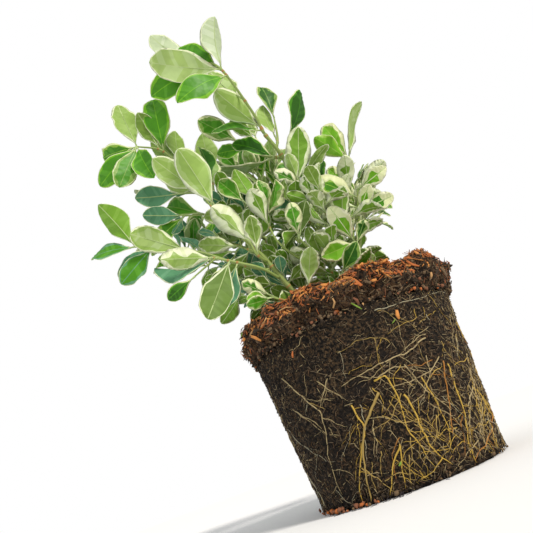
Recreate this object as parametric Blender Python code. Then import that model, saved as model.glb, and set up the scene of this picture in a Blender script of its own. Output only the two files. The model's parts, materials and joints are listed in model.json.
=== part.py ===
"""A young variegated euonymus standing on its own root ball, lifted out of its pot.

The plant stands upright on the flat underside of the root ball. The origin is the middle of
that underside, +Z is up, and the long low spray of the crown reaches towards -X. Tables hold
millimetres, and each value is turned to metres as it is read.
"""

import math
from collections import namedtuple

import bmesh
import bpy
import numpy as np
from mathutils import Vector, noise
from mathutils.bvhtree import BVHTree

MM = 0.001
GAP = 0.3 * MM

# Root ball, as it slides out of a 2 litre pot
BALL_FOOT_RADIUS = 64 * MM
BALL_TOP_RADIUS = 75 * MM
BALL_HEIGHT = 110 * MM
BALL_EDGE = 3 * MM
BALL_SIDES = 36
BALL_COURSES = 6
BALL_LUMP = 1.1 * MM
BALL_LUMP_SIZE = 24 * MM

# Thick roots that show on the side of the ball
ROOT_COUNT = 12
ROOT_RADIUS = (1.25 * MM, 0.8 * MM)
ROOT_PIECES = 6
ROOT_PROUD = 0.15 * MM
ROOT_STARTS = (0.45, 0.9)
ROOT_END = 8 * MM
ROOT_STEP = (0.75, 1.0)
ROOT_DRIFT = 0.1
ROOT_SEED = 7

# Collar of bark mulch over the ball
MULCH_RADIUS = 81 * MM
MULCH_TOP = 136 * MM
MULCH_RIM = 132 * MM
MULCH_RISE_LEFT = 3 * MM
MULCH_RISE_RIGHT = 10 * MM
MULCH_DIP = 6 * MM
MULCH_DIP_TURN = -52
MULCH_DIP_SPREAD = 28
MULCH_WORN = 5 * MM
MULCH_WORN_TURN = -92
MULCH_WORN_SPREAD = 48
MULCH_EDGE = 4 * MM
MULCH_FLAT_RADIUS = 44 * MM
MULCH_LUMP = 2.2 * MM
MULCH_LUMP_SIZE = 15 * MM
MULCH_SIDE_NOISE = 1.7
MULCH_SIDES = 44

# Limbs
LIMB_SIDES = 6
LIMB_RING_STEP = 14 * MM
SPINE_STEP = 1.5 * MM

# Leaves
LEAF_THICKNESS = 0.62 * MM
LEAF_PROFILE = ((0.36, 0.86), (0.73, 0.94))
LEAF_TIP_WIDTH = 0.36
LEAF_SLENDERNESS = 0.46
PETIOLE_LENGTH = 4.0 * MM
PETIOLE_HALF_WIDTH = 0.8 * MM
ROOT_SINK = 0.7 * MM
LEAF_GAP = 0.35 * MM
CROWN_MIDDLE = np.array([-35, 25]) * MM
ROLL_JITTER = 25
LEAF_BOW = (0.1, 0.5)
LEAF_FOLD = (0.0, 0.35)
BLADE_FROM = 5
TRIES = (0, 22, -22, 45, -45, 70, -70)
LEADING_TRIES = (0, 5, -5, 10, -10, 15, -15)
TO_VIEWER = np.array([0.05, -0.92, -0.38])

# What a leaf's face turns to: along its twig, to the sky, and to the middle of the crown
WAY_PULL = 0.35
SKY_PULL = 0.7
INWARD_PULL = 0.75
SIDEWAYS_SHARE = 0.35

# Pairs of leaves along a twig: spread and size from its foot to its tip, and how much they vary
SPREAD_AT_FOOT = 60
SPREAD_AT_TIP = 34
SPREAD_JITTER = 10
TURN_JITTER = 14
SIZE_AT_FOOT = 1.02
SIZE_AT_TIP = 0.80
SIZE_JITTER = (0.86, 1.1)
GAP_AT_FOOT = 1.08
GAP_AT_TIP = 0.73
GAP_JITTER = (0.9, 1.1)
LAST_GAP = 0.35
TIP_SPREAD = (18, 30)
TIP_SIZE = (0.62, 0.8)
TIP_SINK = 0.8 * MM
SIDE_GAP = 18

# Twigs
TWIG_SIDES = 4
TWIG_RING_STEP = 8 * MM
TWIG_RADIUS = (1.25 * MM, 0.65 * MM)
SIDE_TWIG_SIDES = 3
SIDE_TWIG_RADIUS = (0.8 * MM, 0.55 * MM)
SIDE_TWIG_REACH = (0.34, 0.48)
SIDE_TWIG_TURN = 25
SIDE_TWIG_STARTS = (0.8, 0.9)
FORWARD_AT_FOOT = 0.55
FORWARD_AT_TIP = 1.0
RISE_AT_TIP = 0.5
LEAD_IN = 12 * MM
SPACE_RADIUS = 60 * MM
FIRST_SEED = 1000

# Each limb starts in the mulch (parent None) or on its parent, at a share of its length.
Limb = namedtuple("Limb", "parent at thick thin places")
LIMBS = {
    "stem_leader": Limb(None, 0, 2.2, 1.4,
        ((2, 8, 136), (8, 3, 190), (6, -4, 235), (3, -20, 262), (-3, -30, 281)),
    ),
    "stem_left": Limb(None, 0, 1.8, 1.2,
        ((-23, -24, 136), (-31, -31, 157), (-39, -38, 180), (-52, -56, 205)),
    ),
    "stem_far_left": Limb(None, 0, 2.0, 1.3,
        ((-12, 14, 136), (-30, 6, 195), (-51, -2, 241), (-76, -18, 288)),
    ),
    "stem_right": Limb(None, 0, 1.6, 1.2, ((18, -16, 136), (23, -20, 149), (32, -22, 167), (38, -23, 183))),
    "stem_right_back": Limb(None, 0, 1.7, 1.2, ((19, 16, 136), (28, 12, 175), (42, 10, 215))),
    "stem_back": Limb(None, 0, 2.0, 1.3, ((2, 30, 136), (-8, 42, 195), (-16, 50, 250))),
    "stem_back_left": Limb(None, 0, 1.8, 1.2, ((-20, 28, 136), (-44, 42, 180), (-78, 48, 215))),
    "bough_low_left": Limb("stem_left", 0.42, 1.2, 1.1, ((0, 0, 0), (-46, -36, 173), (-61, -44, 182))),
    "bough_back_right": Limb("stem_back", 0.3, 1.4, 1.1, ((0, 0, 0), (18, 52, 186), (38, 60, 210))),
}

# Each mass of leaves grows from the tip of a limb (at 1) or from its side. Its leaves stand in pairs
# from `first` on, `gap` apart, and a `gap` of nothing leaves its main twig to its leading leaves.
Shoot = namedtuple("Shoot", "limb at leaf first gap turn forks places")
SHOOTS = {
    "leaves_top": Shoot("stem_leader", 1, 44, 0, 0, 130, 0,
        ((-5, -40, 297), (-14, -68, 324), (-24, -66, 340), (-34, -60, 352)),
    ),
    "leaves_leader_left": Shoot("stem_leader", 0.84, 36, 0, 0, 30, 1, ((-12, -10, 276), (-26, -12, 296))),
    "leaves_leader_back": Shoot("stem_leader", 0.9, 34, 0, 0, 0, 0, ((6, -14, 284), (10, -8, 308))),
    "leaves_lone": Shoot("stem_leader", 0.8, 50, 0, 0, 70, 0, ((9, -26, 263),)),
    "leaves_upper_left": Shoot("stem_far_left", 1, 43, 0, 0, 90, 0,
        ((-84, -24, 301), (-91, -30, 310), (-108, -34, 319)),
    ),
    "leaves_middle_left": Shoot("stem_far_left", 0.8, 40, 0, 0, 40, 0, ((-62, -4, 268), (-58, -6, 284))),
    "leaves_side_left": Shoot("stem_far_left", 0.72, 42, 0, 0, 60, 0, ((-72, -16, 262), (-86, -24, 265))),
    "leaves_side_low": Shoot("stem_far_left", 0.5, 36, 0, 0, 60, 0, ((-66, -14, 238), (-90, -22, 246))),
    "leaves_left": Shoot("stem_left", 1, 40, 0, 0, 90, 0, ((-53, -60, 213), (-56, -64, 220))),
    "leaves_left_back": Shoot("stem_left", 0.9, 38, 0, 0, 90, 0, ((-60, -46, 226), (-66, -48, 246))),
    "leaves_low_left": Shoot("bough_low_left", 1, 40, 0, 0, 90, 0,
        ((-80, -52, 196), (-108, -60, 210), (-122, -64, 215)),
    ),
    "leaves_front_left": Shoot("stem_left", 0.3, 38, 0, 0, 90, 0,
        ((-42, -46, 168), (-56, -55, 176), (-70, -61, 184)),
    ),
    "leaves_low_spray": Shoot("stem_left", 0.03, 27, 0, 0, 90, 0, ((-36, -42, 141), (-42, -48, 144))),
    "leaves_front_low": Shoot("stem_left", 0.1, 34, 0, 0, 90, 0, ((-19, -36, 141), (-16, -44, 140))),
    "leaves_left_inner": Shoot("stem_left", 0.5, 36, 0, 0, 80, 0, ((-41, -48, 178), (-42, -52, 188))),
    "leaves_inner_left": Shoot("stem_far_left", 0.45, 32, 8, 12, 20, 1, ((-44, -12, 216), (-50, -28, 234))),
    "leaves_inner_low": Shoot("stem_left", 0.62, 32, 8, 12, 60, 1, ((-54, -30, 198), (-66, -24, 212))),
    "leaves_inner_foot": Shoot("stem_far_left", 0.05, 32, 14, 12, 60, 1,
        ((-26, -12, 150), (-42, -26, 162)),
    ),
    "leaves_centre_left": Shoot("stem_leader", 0.14, 34, 0, 0, 50, 1,
        ((-12, -24, 168), (-24, -40, 184), (-26, -43, 204)),
    ),
    "leaves_centre_front": Shoot("stem_leader", 0.2, 34, 0, 0, 90, 0, ((-2, -26, 168), (-9, -42, 180))),
    "leaves_centre_middle": Shoot("stem_leader", 0.34, 30, 8, 12, 60, 1, ((4, -14, 196), (-4, -30, 210))),
    "leaves_centre_foot": Shoot("stem_leader", 0.06, 34, 26, 16, 100, 1, ((4, -18, 150), (2, -30, 164))),
    "leaves_centre_top": Shoot("stem_leader", 0.58, 36, 0, 0, 80, 0, ((12, -16, 225), (7, -28, 229))),
    "leaves_low_behind": Shoot("stem_far_left", 0.2, 34, 18, 18, 90, 1, ((-50, 0, 164), (-74, -6, 174))),
    "leaves_low_middle": Shoot("stem_far_left", 0.14, 32, 12, 14, 40, 1, ((-24, -4, 164), (-32, -14, 182))),
    "leaves_right": Shoot("stem_right", 1, 34, 0, 0, 100, 0, ((43, -26, 196), (46, -28, 204))),
    "leaves_right_middle": Shoot("stem_right", 0.45, 34, 0, 0, 100, 0, ((28, -28, 166),)),
    "leaves_right_low": Shoot("stem_right", 0.08, 34, 0, 0, 60, 0, ((14, -28, 143), (8, -34, 144))),
    "leaves_right_inner": Shoot("stem_right", 0.6, 34, 12, 18, 70, 1, ((20, -30, 186), (12, -38, 204))),
    "leaves_right_upper": Shoot("stem_right_back", 1, 46, 0, 0, 80, 0, ((47, 10, 236), (55, 7, 250))),
    "leaves_right_back": Shoot("stem_right_back", 0.5, 34, 16, 18, 40, 1, ((36, 30, 200), (42, 40, 224))),
    "leaves_low_right": Shoot("stem_right_back", 0.15, 34, 12, 16, 40, 1, ((14, 2, 156), (8, -6, 170))),
    "leaves_back_top": Shoot("stem_back", 1, 40, 8, 22, 50, 2, ((-26, 58, 290), (-40, 62, 322))),
    "leaves_back_middle": Shoot("stem_back", 0.6, 40, 12, 22, 20, 1, ((-18, 72, 236), (-22, 90, 262))),
    "leaves_back_left": Shoot("stem_back_left", 1, 40, 8, 22, 30, 1, ((-104, 48, 236), (-126, 44, 258))),
    "leaves_back_low": Shoot("stem_back_left", 0.5, 38, 12, 20, 60, 1, ((-62, 66, 190), (-78, 84, 204))),
    "leaves_back_right": Shoot("bough_back_right", 1, 38, 8, 20, 80, 1, ((46, 66, 232), (49, 72, 252))),
    "leaves_back_foot": Shoot("bough_back_right", 0.5, 34, 12, 20, 20, 1, ((18, 76, 186), (16, 90, 196))),
}

# Leaves that make the crown's outline and its gaps in front. Each grows `run` along its main twig, on
# a bare side shoot of length `stalk`. Seen from the front, `heading` is its turn clockwise from straight
# up and `lean` how far it leans towards the viewer. A `roll` of 0 shows its underside, 180 its face.
Leading = namedtuple("Leading", "run heading lean stalk length roll")
LEADING_LEAVES = {
    "leaves_top": (
        Leading(5, -36, 37, 0, 47, 0),
        Leading(60, 15, 13, 0, 44, 50),
        Leading(60, -74, 25, 0, 55, 0),
        Leading(58, -33, -3, 4, 46, 200),
        Leading(100, -34, 10, 0, 46, 20),
        Leading(54, -119, 25, 0, 51, 195),
        Leading(72, -94, 6, 0, 54, 190),
        Leading(30, -20, -10, 6, 50, 20),
        Leading(3, -74, 12, 0, 42, 235),
    ),
    "leaves_leader_left": (
        Leading(4, -86, 18, 4, 50, 95),
        Leading(6, -53, 18, 0, 38, 205),
        Leading(60, -40, 14, 0, 42, 180),
        Leading(36, -76, 2, 0, 28, 180),
    ),
    "leaves_leader_back": (
        Leading(60, 0, -8, 0, 38, 200),
        Leading(8, 4, -7, 8, 40, 40),
    ),
    "leaves_lone": (
        Leading(60, 36, 12, 9, 41, 228),
    ),
    "leaves_upper_left": (
        Leading(28, -9, 22, 0, 37, 0),
        Leading(24, 3, 0, 0, 50, 190),
        Leading(48, -5, 6, 0, 46, 20),
        Leading(60, -152, 15, 0, 45, 170),
        Leading(60, -117, -2, 0, 46, 180),
        Leading(60, -76, -10, 0, 36, 180),
        Leading(4, 4, -10, 0, 44, 50),
        Leading(12, -16, -11, 0, 44, 20),
        Leading(57, 166, 4, 0, 42, 190),
    ),
    "leaves_middle_left": (
        Leading(60, 4, -5, 0, 45, 10),
        Leading(10, -30, -12, 0, 36, 200),
    ),
    "leaves_side_left": (
        Leading(60, -82, 22, 0, 38, 0),
        Leading(60, -60, 8, 0, 42, 55),
        Leading(12, -42, 6, 8, 36, 20),
        Leading(14, -48, -13, 14, 26, 0),
    ),
    "leaves_side_low": (
        Leading(80, -72, 18, 0, 34, 0),
        Leading(40, -50, -10, 6, 38, 190),
        Leading(60, -98, -5, 0, 36, 190),
        Leading(80, -140, 20, 0, 20, 30),
    ),
    "leaves_left": (
        Leading(60, -11, 21, 0, 50, 0),
    ),
    "leaves_left_back": (
        Leading(60, -34, 16, 0, 45, 10),
        Leading(30, 4, -6, 12, 44, 240),
    ),
    "leaves_low_left": (
        Leading(34, -62, 30, 0, 42, 0),
        Leading(80, -21, 19, 0, 42, 0),
        Leading(80, -77, -6, 0, 39, 225),
        Leading(59, -128, 12, 0, 36, 180),
        Leading(59, -104, -10, 0, 36, 0),
        Leading(30, -72, -17, 0, 32, 20),
    ),
    "leaves_front_left": (
        Leading(80, -77, 24, 0, 37, 0),
        Leading(50, -72, -7, 0, 50, 80),
        Leading(40, -148, 18, 0, 48, 0),
        Leading(34, -138, -4, 0, 38, 30),
        Leading(50, -110, 0, 20, 25, 180),
        Leading(40, -127, -10, 0, 24, 180),
    ),
    "leaves_low_spray": (
        Leading(60, -80, 28, 0, 19, 215),
        Leading(60, -100, 34, 0, 22, 180),
        Leading(18, -100, 20, 0, 15, 0),
        Leading(20, -46, 20, 6, 24, 180),
    ),
    "leaves_front_low": (
        Leading(60, 28, 26, 0, 31, 0),
    ),
    "leaves_left_inner": (
        Leading(10, 14, 28, 0, 30, 0),
        Leading(60, -27, 26, 0, 38, 0),
    ),
    "leaves_centre_left": (
        Leading(90, 12, 17, 0, 31, 225),
        Leading(90, 36, 13, 0, 31, 225),
        Leading(72, -6, 36, 0, 33, 0),
        Leading(90, -28, 6, 20, 30, 180),
        Leading(90, -10, -3, 20, 34, 10),
    ),
    "leaves_centre_front": (
        Leading(60, 10, 23, 0, 27, 180),
        Leading(60, 34, 18, 0, 28, 10),
        Leading(12, -65, 45, 0, 34, 20),
    ),
    "leaves_centre_top": (
        Leading(60, 22, 13, 0, 45, 0),
        Leading(27, -1, 20, 0, 25, 0),
        Leading(24, 61, 16, 0, 37, 60),
        Leading(16, 53, 10, 0, 26, 225),
        Leading(21, -46, 24, 0, 26, 180),
        Leading(25, -120, 27, 0, 35, 0),
    ),
    "leaves_right": (
        Leading(60, 70, 17, 0, 29, 0),
        Leading(60, 83, 24, 0, 27, 180),
        Leading(6, 91, 4, 0, 28, 180),
        Leading(4, 49, 37, 0, 24, 180),
        Leading(16, -52, 27, 0, 36, 180),
        Leading(8, -60, 28, 0, 30, 0),
    ),
    "leaves_right_middle": (
        Leading(60, -17, 34, 0, 33, 180),
        Leading(60, -103, 30, 0, 32, 180),
        Leading(4, 38, -6, 0, 22, 180),
    ),
    "leaves_right_low": (
        Leading(60, 51, 22, 0, 27, 180),
        Leading(30, 76, 24, 0, 30, 240),
        Leading(20, 84, 8, 0, 28, 0),
    ),
    "leaves_right_upper": (
        Leading(60, 33, 6, 0, 52, 60),
        Leading(60, -10, 10, 0, 39, 180),
        Leading(36, -39, 14, 0, 35, 180),
        Leading(5, 16, 40, 0, 33, 0),
    ),
}

CREAM_MASSES = ("leaves_right",)

Leaf = namedtuple("Leaf", "root along up length bow fold")

COLOURS = {
    "soil": (0.030, 0.024, 0.018),
    "bark": (0.130, 0.060, 0.028),
    "stem": (0.200, 0.260, 0.080),
    "leaf": (0.230, 0.380, 0.110),
    "cream_leaf": (0.560, 0.620, 0.330),
}


def clear_scene():
    for obj in list(bpy.data.objects):
        bpy.data.objects.remove(obj, do_unlink=True)


def material(name, roughness=0.6):
    found = bpy.data.materials.get(name)
    if found:
        return found
    made = bpy.data.materials.new(name)
    made.use_nodes = True
    shader = made.node_tree.nodes["Principled BSDF"]
    shader.inputs["Base Color"].default_value = (*COLOURS[name], 1)
    shader.inputs["Roughness"].default_value = roughness
    made.diffuse_color = (*COLOURS[name], 1)
    return made


def new_object(name, bm, surface):
    mesh = bpy.data.meshes.new(name)
    bmesh.ops.recalc_face_normals(bm, faces=bm.faces)
    bm.to_mesh(mesh)
    bm.free()
    mesh.materials.append(surface)
    obj = bpy.data.objects.new(name, mesh)
    bpy.context.scene.collection.objects.link(obj)
    return obj


def unit(vector):
    return vector / np.linalg.norm(vector)


def turned(vector, axis, angle):
    """The vector turned by an angle about a unit axis."""
    across = np.cross(axis, vector)
    kept = axis * (axis @ vector)
    return kept + (vector - kept) * math.cos(angle) + across * math.sin(angle)


def smooth_line(places):
    """Points along a smooth curve that passes through every place."""
    ends = np.vstack([2 * places[0] - places[1], places, 2 * places[-1] - places[-2]])
    parts = []
    for a, b, c, d in zip(ends, ends[1:], ends[2:], ends[3:]):
        count = max(2, int(np.linalg.norm(c - b) / SPINE_STEP))
        t = np.linspace(0, 1, count, endpoint=False)[:, None]
        bend = 2 * a - 5 * b + 4 * c - d
        twist = 3 * b - a - 3 * c + d
        parts.append(b + 0.5 * t * ((c - a) + t * (bend + t * twist)))
    return np.vstack(parts + [places[-1:]])


class Spine:
    """The middle line of a limb or twig, with its radius and a frame carried along it."""

    def __init__(self, points, thick, thin):
        self.points = points
        steps = np.linalg.norm(np.diff(points, axis=0), axis=1)
        self.run = np.concatenate([[0], np.cumsum(steps)])
        self.length = self.run[-1]
        self.ways = np.gradient(points, axis=0)
        self.ways /= np.linalg.norm(self.ways, axis=1)[:, None]
        self.thick = thick
        self.thin = thin

    def at(self, run):
        return np.array([np.interp(run, self.run, self.points[:, k]) for k in range(3)])

    def way(self, run):
        return unit(np.array([np.interp(run, self.run, self.ways[:, k]) for k in range(3)]))

    def radius(self, run):
        return self.thick + (self.thin - self.thick) * np.clip(run / self.length, 0, 1)

    def side(self, run):
        """A unit vector square to the line, as near to the front (-Y) as it can be."""
        way = self.way(run)
        front = np.array([0.0, -1.0, 0.15])
        return unit(front - way * (front @ way))

    def ring(self, run, sides):
        way = self.way(run)
        first = self.side(run)
        second = np.cross(way, first)
        turns = np.arange(sides) * 2 * math.pi / sides
        return self.at(run) + self.radius(run) * (
            np.outer(np.cos(turns), first) + np.outer(np.sin(turns), second)
        )

    def distance(self, point):
        """How far a point is from the line, and the radius there."""
        gaps = np.linalg.norm(self.points - point, axis=1)
        nearest = gaps.argmin()
        return gaps[nearest], self.radius(self.run[nearest])

    def cut(self, start, end=None):
        """The stretch from one distance to another."""
        end = self.length if end is None else end
        inner = self.points[(self.run > start) & (self.run < end)]
        points = np.vstack([self.at(start), inner, self.at(end)])
        return Spine(points, self.radius(start), self.radius(end))


def tube(bm, spine, sides, step):
    """A closed tapering tube with flat ends."""
    rows = max(2, int(math.ceil(spine.length / step)) + 1)
    rings = []
    for run in np.linspace(0, spine.length, rows):
        rings.append([bm.verts.new(point) for point in spine.ring(run, sides)])
    for low, high in zip(rings, rings[1:]):
        for k in range(sides):
            bm.faces.new((low[k - 1], low[k], high[k], high[k - 1]))
    bm.faces.new(rings[0][::-1])
    bm.faces.new(rings[-1])


def flat_foot(spine, sides):
    """The rings of a stem whose lowest ring is cut level, for standing on the mulch."""
    return [(x, y, MULCH_TOP + GAP) for x, y, _ in spine.ring(0, sides)]


def clear_of(spine, parent, sides):
    """The same line, begun where its end stands just clear of the parent's surface."""
    for run in np.arange(0, spine.length, 0.1 * MM):
        gap = min(
            distance - radius
            for distance, radius in (parent.distance(point) for point in spine.ring(run, sides))
        )
        if gap >= GAP:
            return spine.cut(run)
    raise ValueError("a limb never leaves its parent")


def grow_limbs():
    spines = {}
    for name, limb in LIMBS.items():
        places = np.array(limb.places) * MM
        if limb.parent:
            parent = spines[limb.parent]
            places[0] = parent.at(limb.at * parent.length)
        else:
            places[0, 2] = MULCH_TOP + GAP
        spine = Spine(smooth_line(places), limb.thick * MM, limb.thin * MM)
        if limb.parent:
            spine = clear_of(spine, parent, LIMB_SIDES)
        spines[name] = spine
    return spines


def limb_object(name, spine, on_mulch):
    bm = bmesh.new()
    tube(bm, spine, LIMB_SIDES, LIMB_RING_STEP)
    if on_mulch:
        bm.verts.ensure_lookup_table()
        for vert, foot in zip(bm.verts[:LIMB_SIDES], flat_foot(spine, LIMB_SIDES)):
            vert.co = foot
    return new_object(name, bm, material("stem"))


def leaf_points(leaf, extra=0.0):
    """Sections of a leaf from its root to its tip: left, top, right and bottom points."""
    across = np.cross(leaf.along, leaf.up)
    half = leaf.length * LEAF_SLENDERNESS / 2
    blade = leaf.length - PETIOLE_LENGTH
    stations = [(PETIOLE_LENGTH, PETIOLE_HALF_WIDTH, 0.0)]
    stations += [(PETIOLE_LENGTH + blade * share, half * wide, share) for share, wide in LEAF_PROFILE]
    sections = []
    for run, wide, share in stations:
        middle = leaf.root + leaf.along * run + leaf.up * leaf.bow * leaf.length * share * (1 - share)
        lift = leaf.up * leaf.fold * wide * min(1, share * 3)
        thick = LEAF_THICKNESS / 2 + extra
        sections.append((
            middle - across * (wide + extra) + lift,
            middle + leaf.up * thick,
            middle + across * (wide + extra) + lift,
            middle - leaf.up * thick,
        ))
    end = leaf.root + leaf.along * (leaf.length + extra)
    tips = [end - across * half * LEAF_TIP_WIDTH, end + across * half * LEAF_TIP_WIDTH]
    return leaf.root - leaf.along * ROOT_SINK, sections, tips


def leaf_shell(leaf, extra=0.0):
    """The points and faces of a closed leaf."""
    root, sections, tips = leaf_points(leaf, extra)
    points = [root] + [point for section in sections for point in section] + tips
    faces = []
    for k in range(4):
        following = (k + 1) % 4
        faces.append((0, 1 + following, 1 + k))
        for row in range(len(sections) - 1):
            low = 1 + 4 * row
            high = low + 4
            faces.append((low + k, low + following, high + following))
            faces.append((low + k, high + following, high + k))
    left, top, right, bottom, left_tip, right_tip = range(len(points) - 6, len(points))
    faces += [(left, top, left_tip), (top, right_tip, left_tip), (top, right, right_tip)]
    faces += [(right, bottom, right_tip), (bottom, left_tip, right_tip), (bottom, left, left_tip)]
    return points, faces


class Crowd:
    """What has grown so far and whose it is, so that new growth can be kept clear of it."""

    def __init__(self):
        self.owners = []
        self.trees = []
        self.middles = np.empty((0, 3))
        self.reaches = np.empty(0)

    def add(self, owner, points, faces):
        tree, middle, reach = self.measured(points, faces)
        self.owners.append(owner)
        self.trees.append(tree)
        self.middles = np.vstack([self.middles, middle])
        self.reaches = np.append(self.reaches, reach)

    def measured(self, points, faces):
        spread = np.array(points)
        middle = spread.mean(axis=0)
        tree = BVHTree.FromPolygons([tuple(point) for point in points], faces)
        return tree, middle, np.linalg.norm(spread - middle, axis=1).max()

    def touches(self, points, faces, owner=None):
        """Whether the shell crosses anything here that isn't its owner's own."""
        tree, middle, reach = self.measured(points, faces)
        near = np.linalg.norm(self.middles - middle, axis=1) < self.reaches + reach
        return any(
            tree.overlap(self.trees[k]) for k in np.flatnonzero(near) if self.owners[k] != owner
        )


def shell_of(bm):
    """The points and triangles of a bmesh."""
    bmesh.ops.triangulate(bm, faces=bm.faces)
    bm.verts.index_update()
    points = [tuple(vert.co) for vert in bm.verts]
    faces = [tuple(vert.index for vert in face.verts) for face in bm.faces]
    return points, faces


def tube_shell(spine, sides, step):
    bm = bmesh.new()
    tube(bm, spine, sides, step)
    shell = shell_of(bm)
    bm.free()
    return shell


def make_leaf(spine, run, turn, spread, length, rng):
    """A leaf on a twig: turn goes round the twig, spread leans away from it."""
    way = spine.way(run)
    outward = turned(spine.side(run), way, math.radians(turn))
    spread = math.radians(spread)
    along = unit(way * math.cos(spread) + outward * math.sin(spread))
    root = spine.at(run)
    inward = unit((CROWN_MIDDLE - root[:2]) * np.array([SIDEWAYS_SHARE, 1.0]))
    up = way * WAY_PULL + np.append(inward * INWARD_PULL, SKY_PULL)
    up = unit(up - along * (up @ along))
    up = turned(up, along, math.radians(rng.uniform(-ROLL_JITTER, ROLL_JITTER)))
    return Leaf(root, along, up, length, rng.uniform(*LEAF_BOW), rng.uniform(*LEAF_FOLD))


def leading_leaf(spine, lead, aside, rng):
    """A leaf placed by the table, on a bare side shoot or straight on the main twig."""
    heading = math.radians(lead.heading + aside / 2)
    lean = math.radians(lead.lean + aside)
    flat = math.cos(lean)
    along = np.array([math.sin(heading) * flat, -math.sin(lean), math.cos(heading) * flat])
    up = unit(along * (TO_VIEWER @ along) - TO_VIEWER)
    up = turned(up, along, math.radians(lead.roll))
    start = spine.at(min(lead.run * MM, spine.length - TIP_SINK))
    root = start + along * lead.stalk * MM
    leaf = Leaf(root, along, up, lead.length * MM, rng.uniform(*LEAF_BOW), rng.uniform(*LEAF_FOLD))
    if not lead.stalk:
        return leaf, None
    line = smooth_line(np.array([start, root + along * ROOT_SINK]))
    return leaf, Spine(line, *SIDE_TWIG_RADIUS)


def leaf_places(spine, shoot, rng):
    """Pairs of leaves along a twig, each pair square to the last, and a pair at the tip."""
    leaf = shoot.leaf * MM
    gap = (shoot.gap or SIDE_GAP) * MM
    run = shoot.first * MM
    pair = 0
    while run < spine.length - gap * LAST_GAP:
        share = run / spine.length
        spread = SPREAD_AT_FOOT + (SPREAD_AT_TIP - SPREAD_AT_FOOT) * share
        size = leaf * (SIZE_AT_FOOT + (SIZE_AT_TIP - SIZE_AT_FOOT) * share)
        for side in (0, 180):
            turn = shoot.turn + 90 * pair + side + rng.uniform(-TURN_JITTER, TURN_JITTER)
            lean = spread + rng.uniform(-SPREAD_JITTER, SPREAD_JITTER)
            yield run, turn, lean, size * rng.uniform(*SIZE_JITTER)
        run += gap * (GAP_AT_FOOT + (GAP_AT_TIP - GAP_AT_FOOT) * share) * rng.uniform(*GAP_JITTER)
        pair += 1
    for side in (0, 180):
        turn = shoot.turn + 90 * pair + side
        yield spine.length - TIP_SINK, turn, rng.uniform(*TIP_SPREAD), leaf * rng.uniform(*TIP_SIZE)


def side_twigs(spine, count, turn, rng):
    """Short twigs from the leaf axils, each curving back towards the light."""
    first_share, last_share = SIDE_TWIG_STARTS
    for k in range(count):
        run = spine.length * (k + first_share) / (count + last_share)
        way = spine.way(run)
        around = turn + 180 * k + rng.uniform(-SIDE_TWIG_TURN, SIDE_TWIG_TURN)
        outward = turned(spine.side(run), way, math.radians(around))
        reach = spine.length * rng.uniform(*SIDE_TWIG_REACH)
        first = unit(way * FORWARD_AT_FOOT + outward)
        second = unit(way * FORWARD_AT_TIP + outward + np.array([0.0, 0.0, RISE_AT_TIP]))
        start = spine.at(run)
        places = np.array([start, start + first * reach * 0.5, start + (first + second) * reach * 0.5])
        yield Spine(smooth_line(places), *SIDE_TWIG_RADIUS)


def fits(leaf, name, crowd, home):
    """Whether a leaf keeps to its mass's own space and clear of everything else."""
    points, faces = leaf_shell(leaf, LEAF_GAP)
    if home.distance(points[-1])[0] > SPACE_RADIUS:
        return False
    blade = points[BLADE_FROM:]
    blade_faces = [tuple(k - BLADE_FROM for k in face) for face in faces if min(face) >= BLADE_FROM]
    return not crowd.touches(blade, blade_faces) and not crowd.touches(points, faces, name)


def grow_leading_leaves(name, main, crowd):
    """The leaves of a mass that the table places, as closed shells."""
    shells = []
    for number, lead in enumerate(LEADING_LEAVES.get(name, ())):
        for aside in LEADING_TRIES:
            leaf, stalk = leading_leaf(main, lead, aside, np.random.default_rng(number))
            stalk_shell = tube_shell(stalk, SIDE_TWIG_SIDES, LIMB_RING_STEP) if stalk else None
            if stalk and crowd.touches(*stalk_shell, name):
                continue
            if fits(leaf, name, crowd, main):
                new = [stalk_shell, leaf_shell(leaf)] if stalk else [leaf_shell(leaf)]
                for shell in new:
                    crowd.add(name, *shell)
                shells += new
                break
    return shells


def try_leaf(name, twig, place, crowd, home):
    """The leaf as placed, or turned aside to miss its neighbours, or nothing."""
    run, turn, spread, length, seed = place
    for aside in TRIES:
        leaf = make_leaf(twig, run, turn + aside, spread, length, np.random.default_rng(seed))
        if fits(leaf, name, crowd, home):
            return leaf
    return None


def main_twig(shoot, limb):
    """The stem of a mass: in line with the limb where it grows from the tip, or clear of its side."""
    places = np.array(shoot.places) * MM
    start = limb.at(shoot.at * limb.length)
    if shoot.at < 1:
        return clear_of(Spine(smooth_line(np.vstack([start, places])), *TWIG_RADIUS), limb, TWIG_SIDES)
    way = limb.way(limb.length)
    start = start + way * GAP
    line = smooth_line(np.vstack([start - way * LEAD_IN, start, places]))
    line = line[np.linalg.norm(line - start, axis=1).argmin():]
    line[0] = start
    return Spine(line, min(TWIG_RADIUS[0], limb.thin), TWIG_RADIUS[1])


def grow_main_twigs(spines, crowd):
    """The stem of every mass. They come first, so that no leaf takes their place."""
    mains = {}
    for name, shoot in SHOOTS.items():
        mains[name] = main_twig(shoot, spines[shoot.limb])
        shell = tube_shell(mains[name], TWIG_SIDES, TWIG_RING_STEP)
        if crowd.touches(*shell):
            raise ValueError(name + " runs into its neighbour")
        crowd.add(name, *shell)
    return mains


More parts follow.
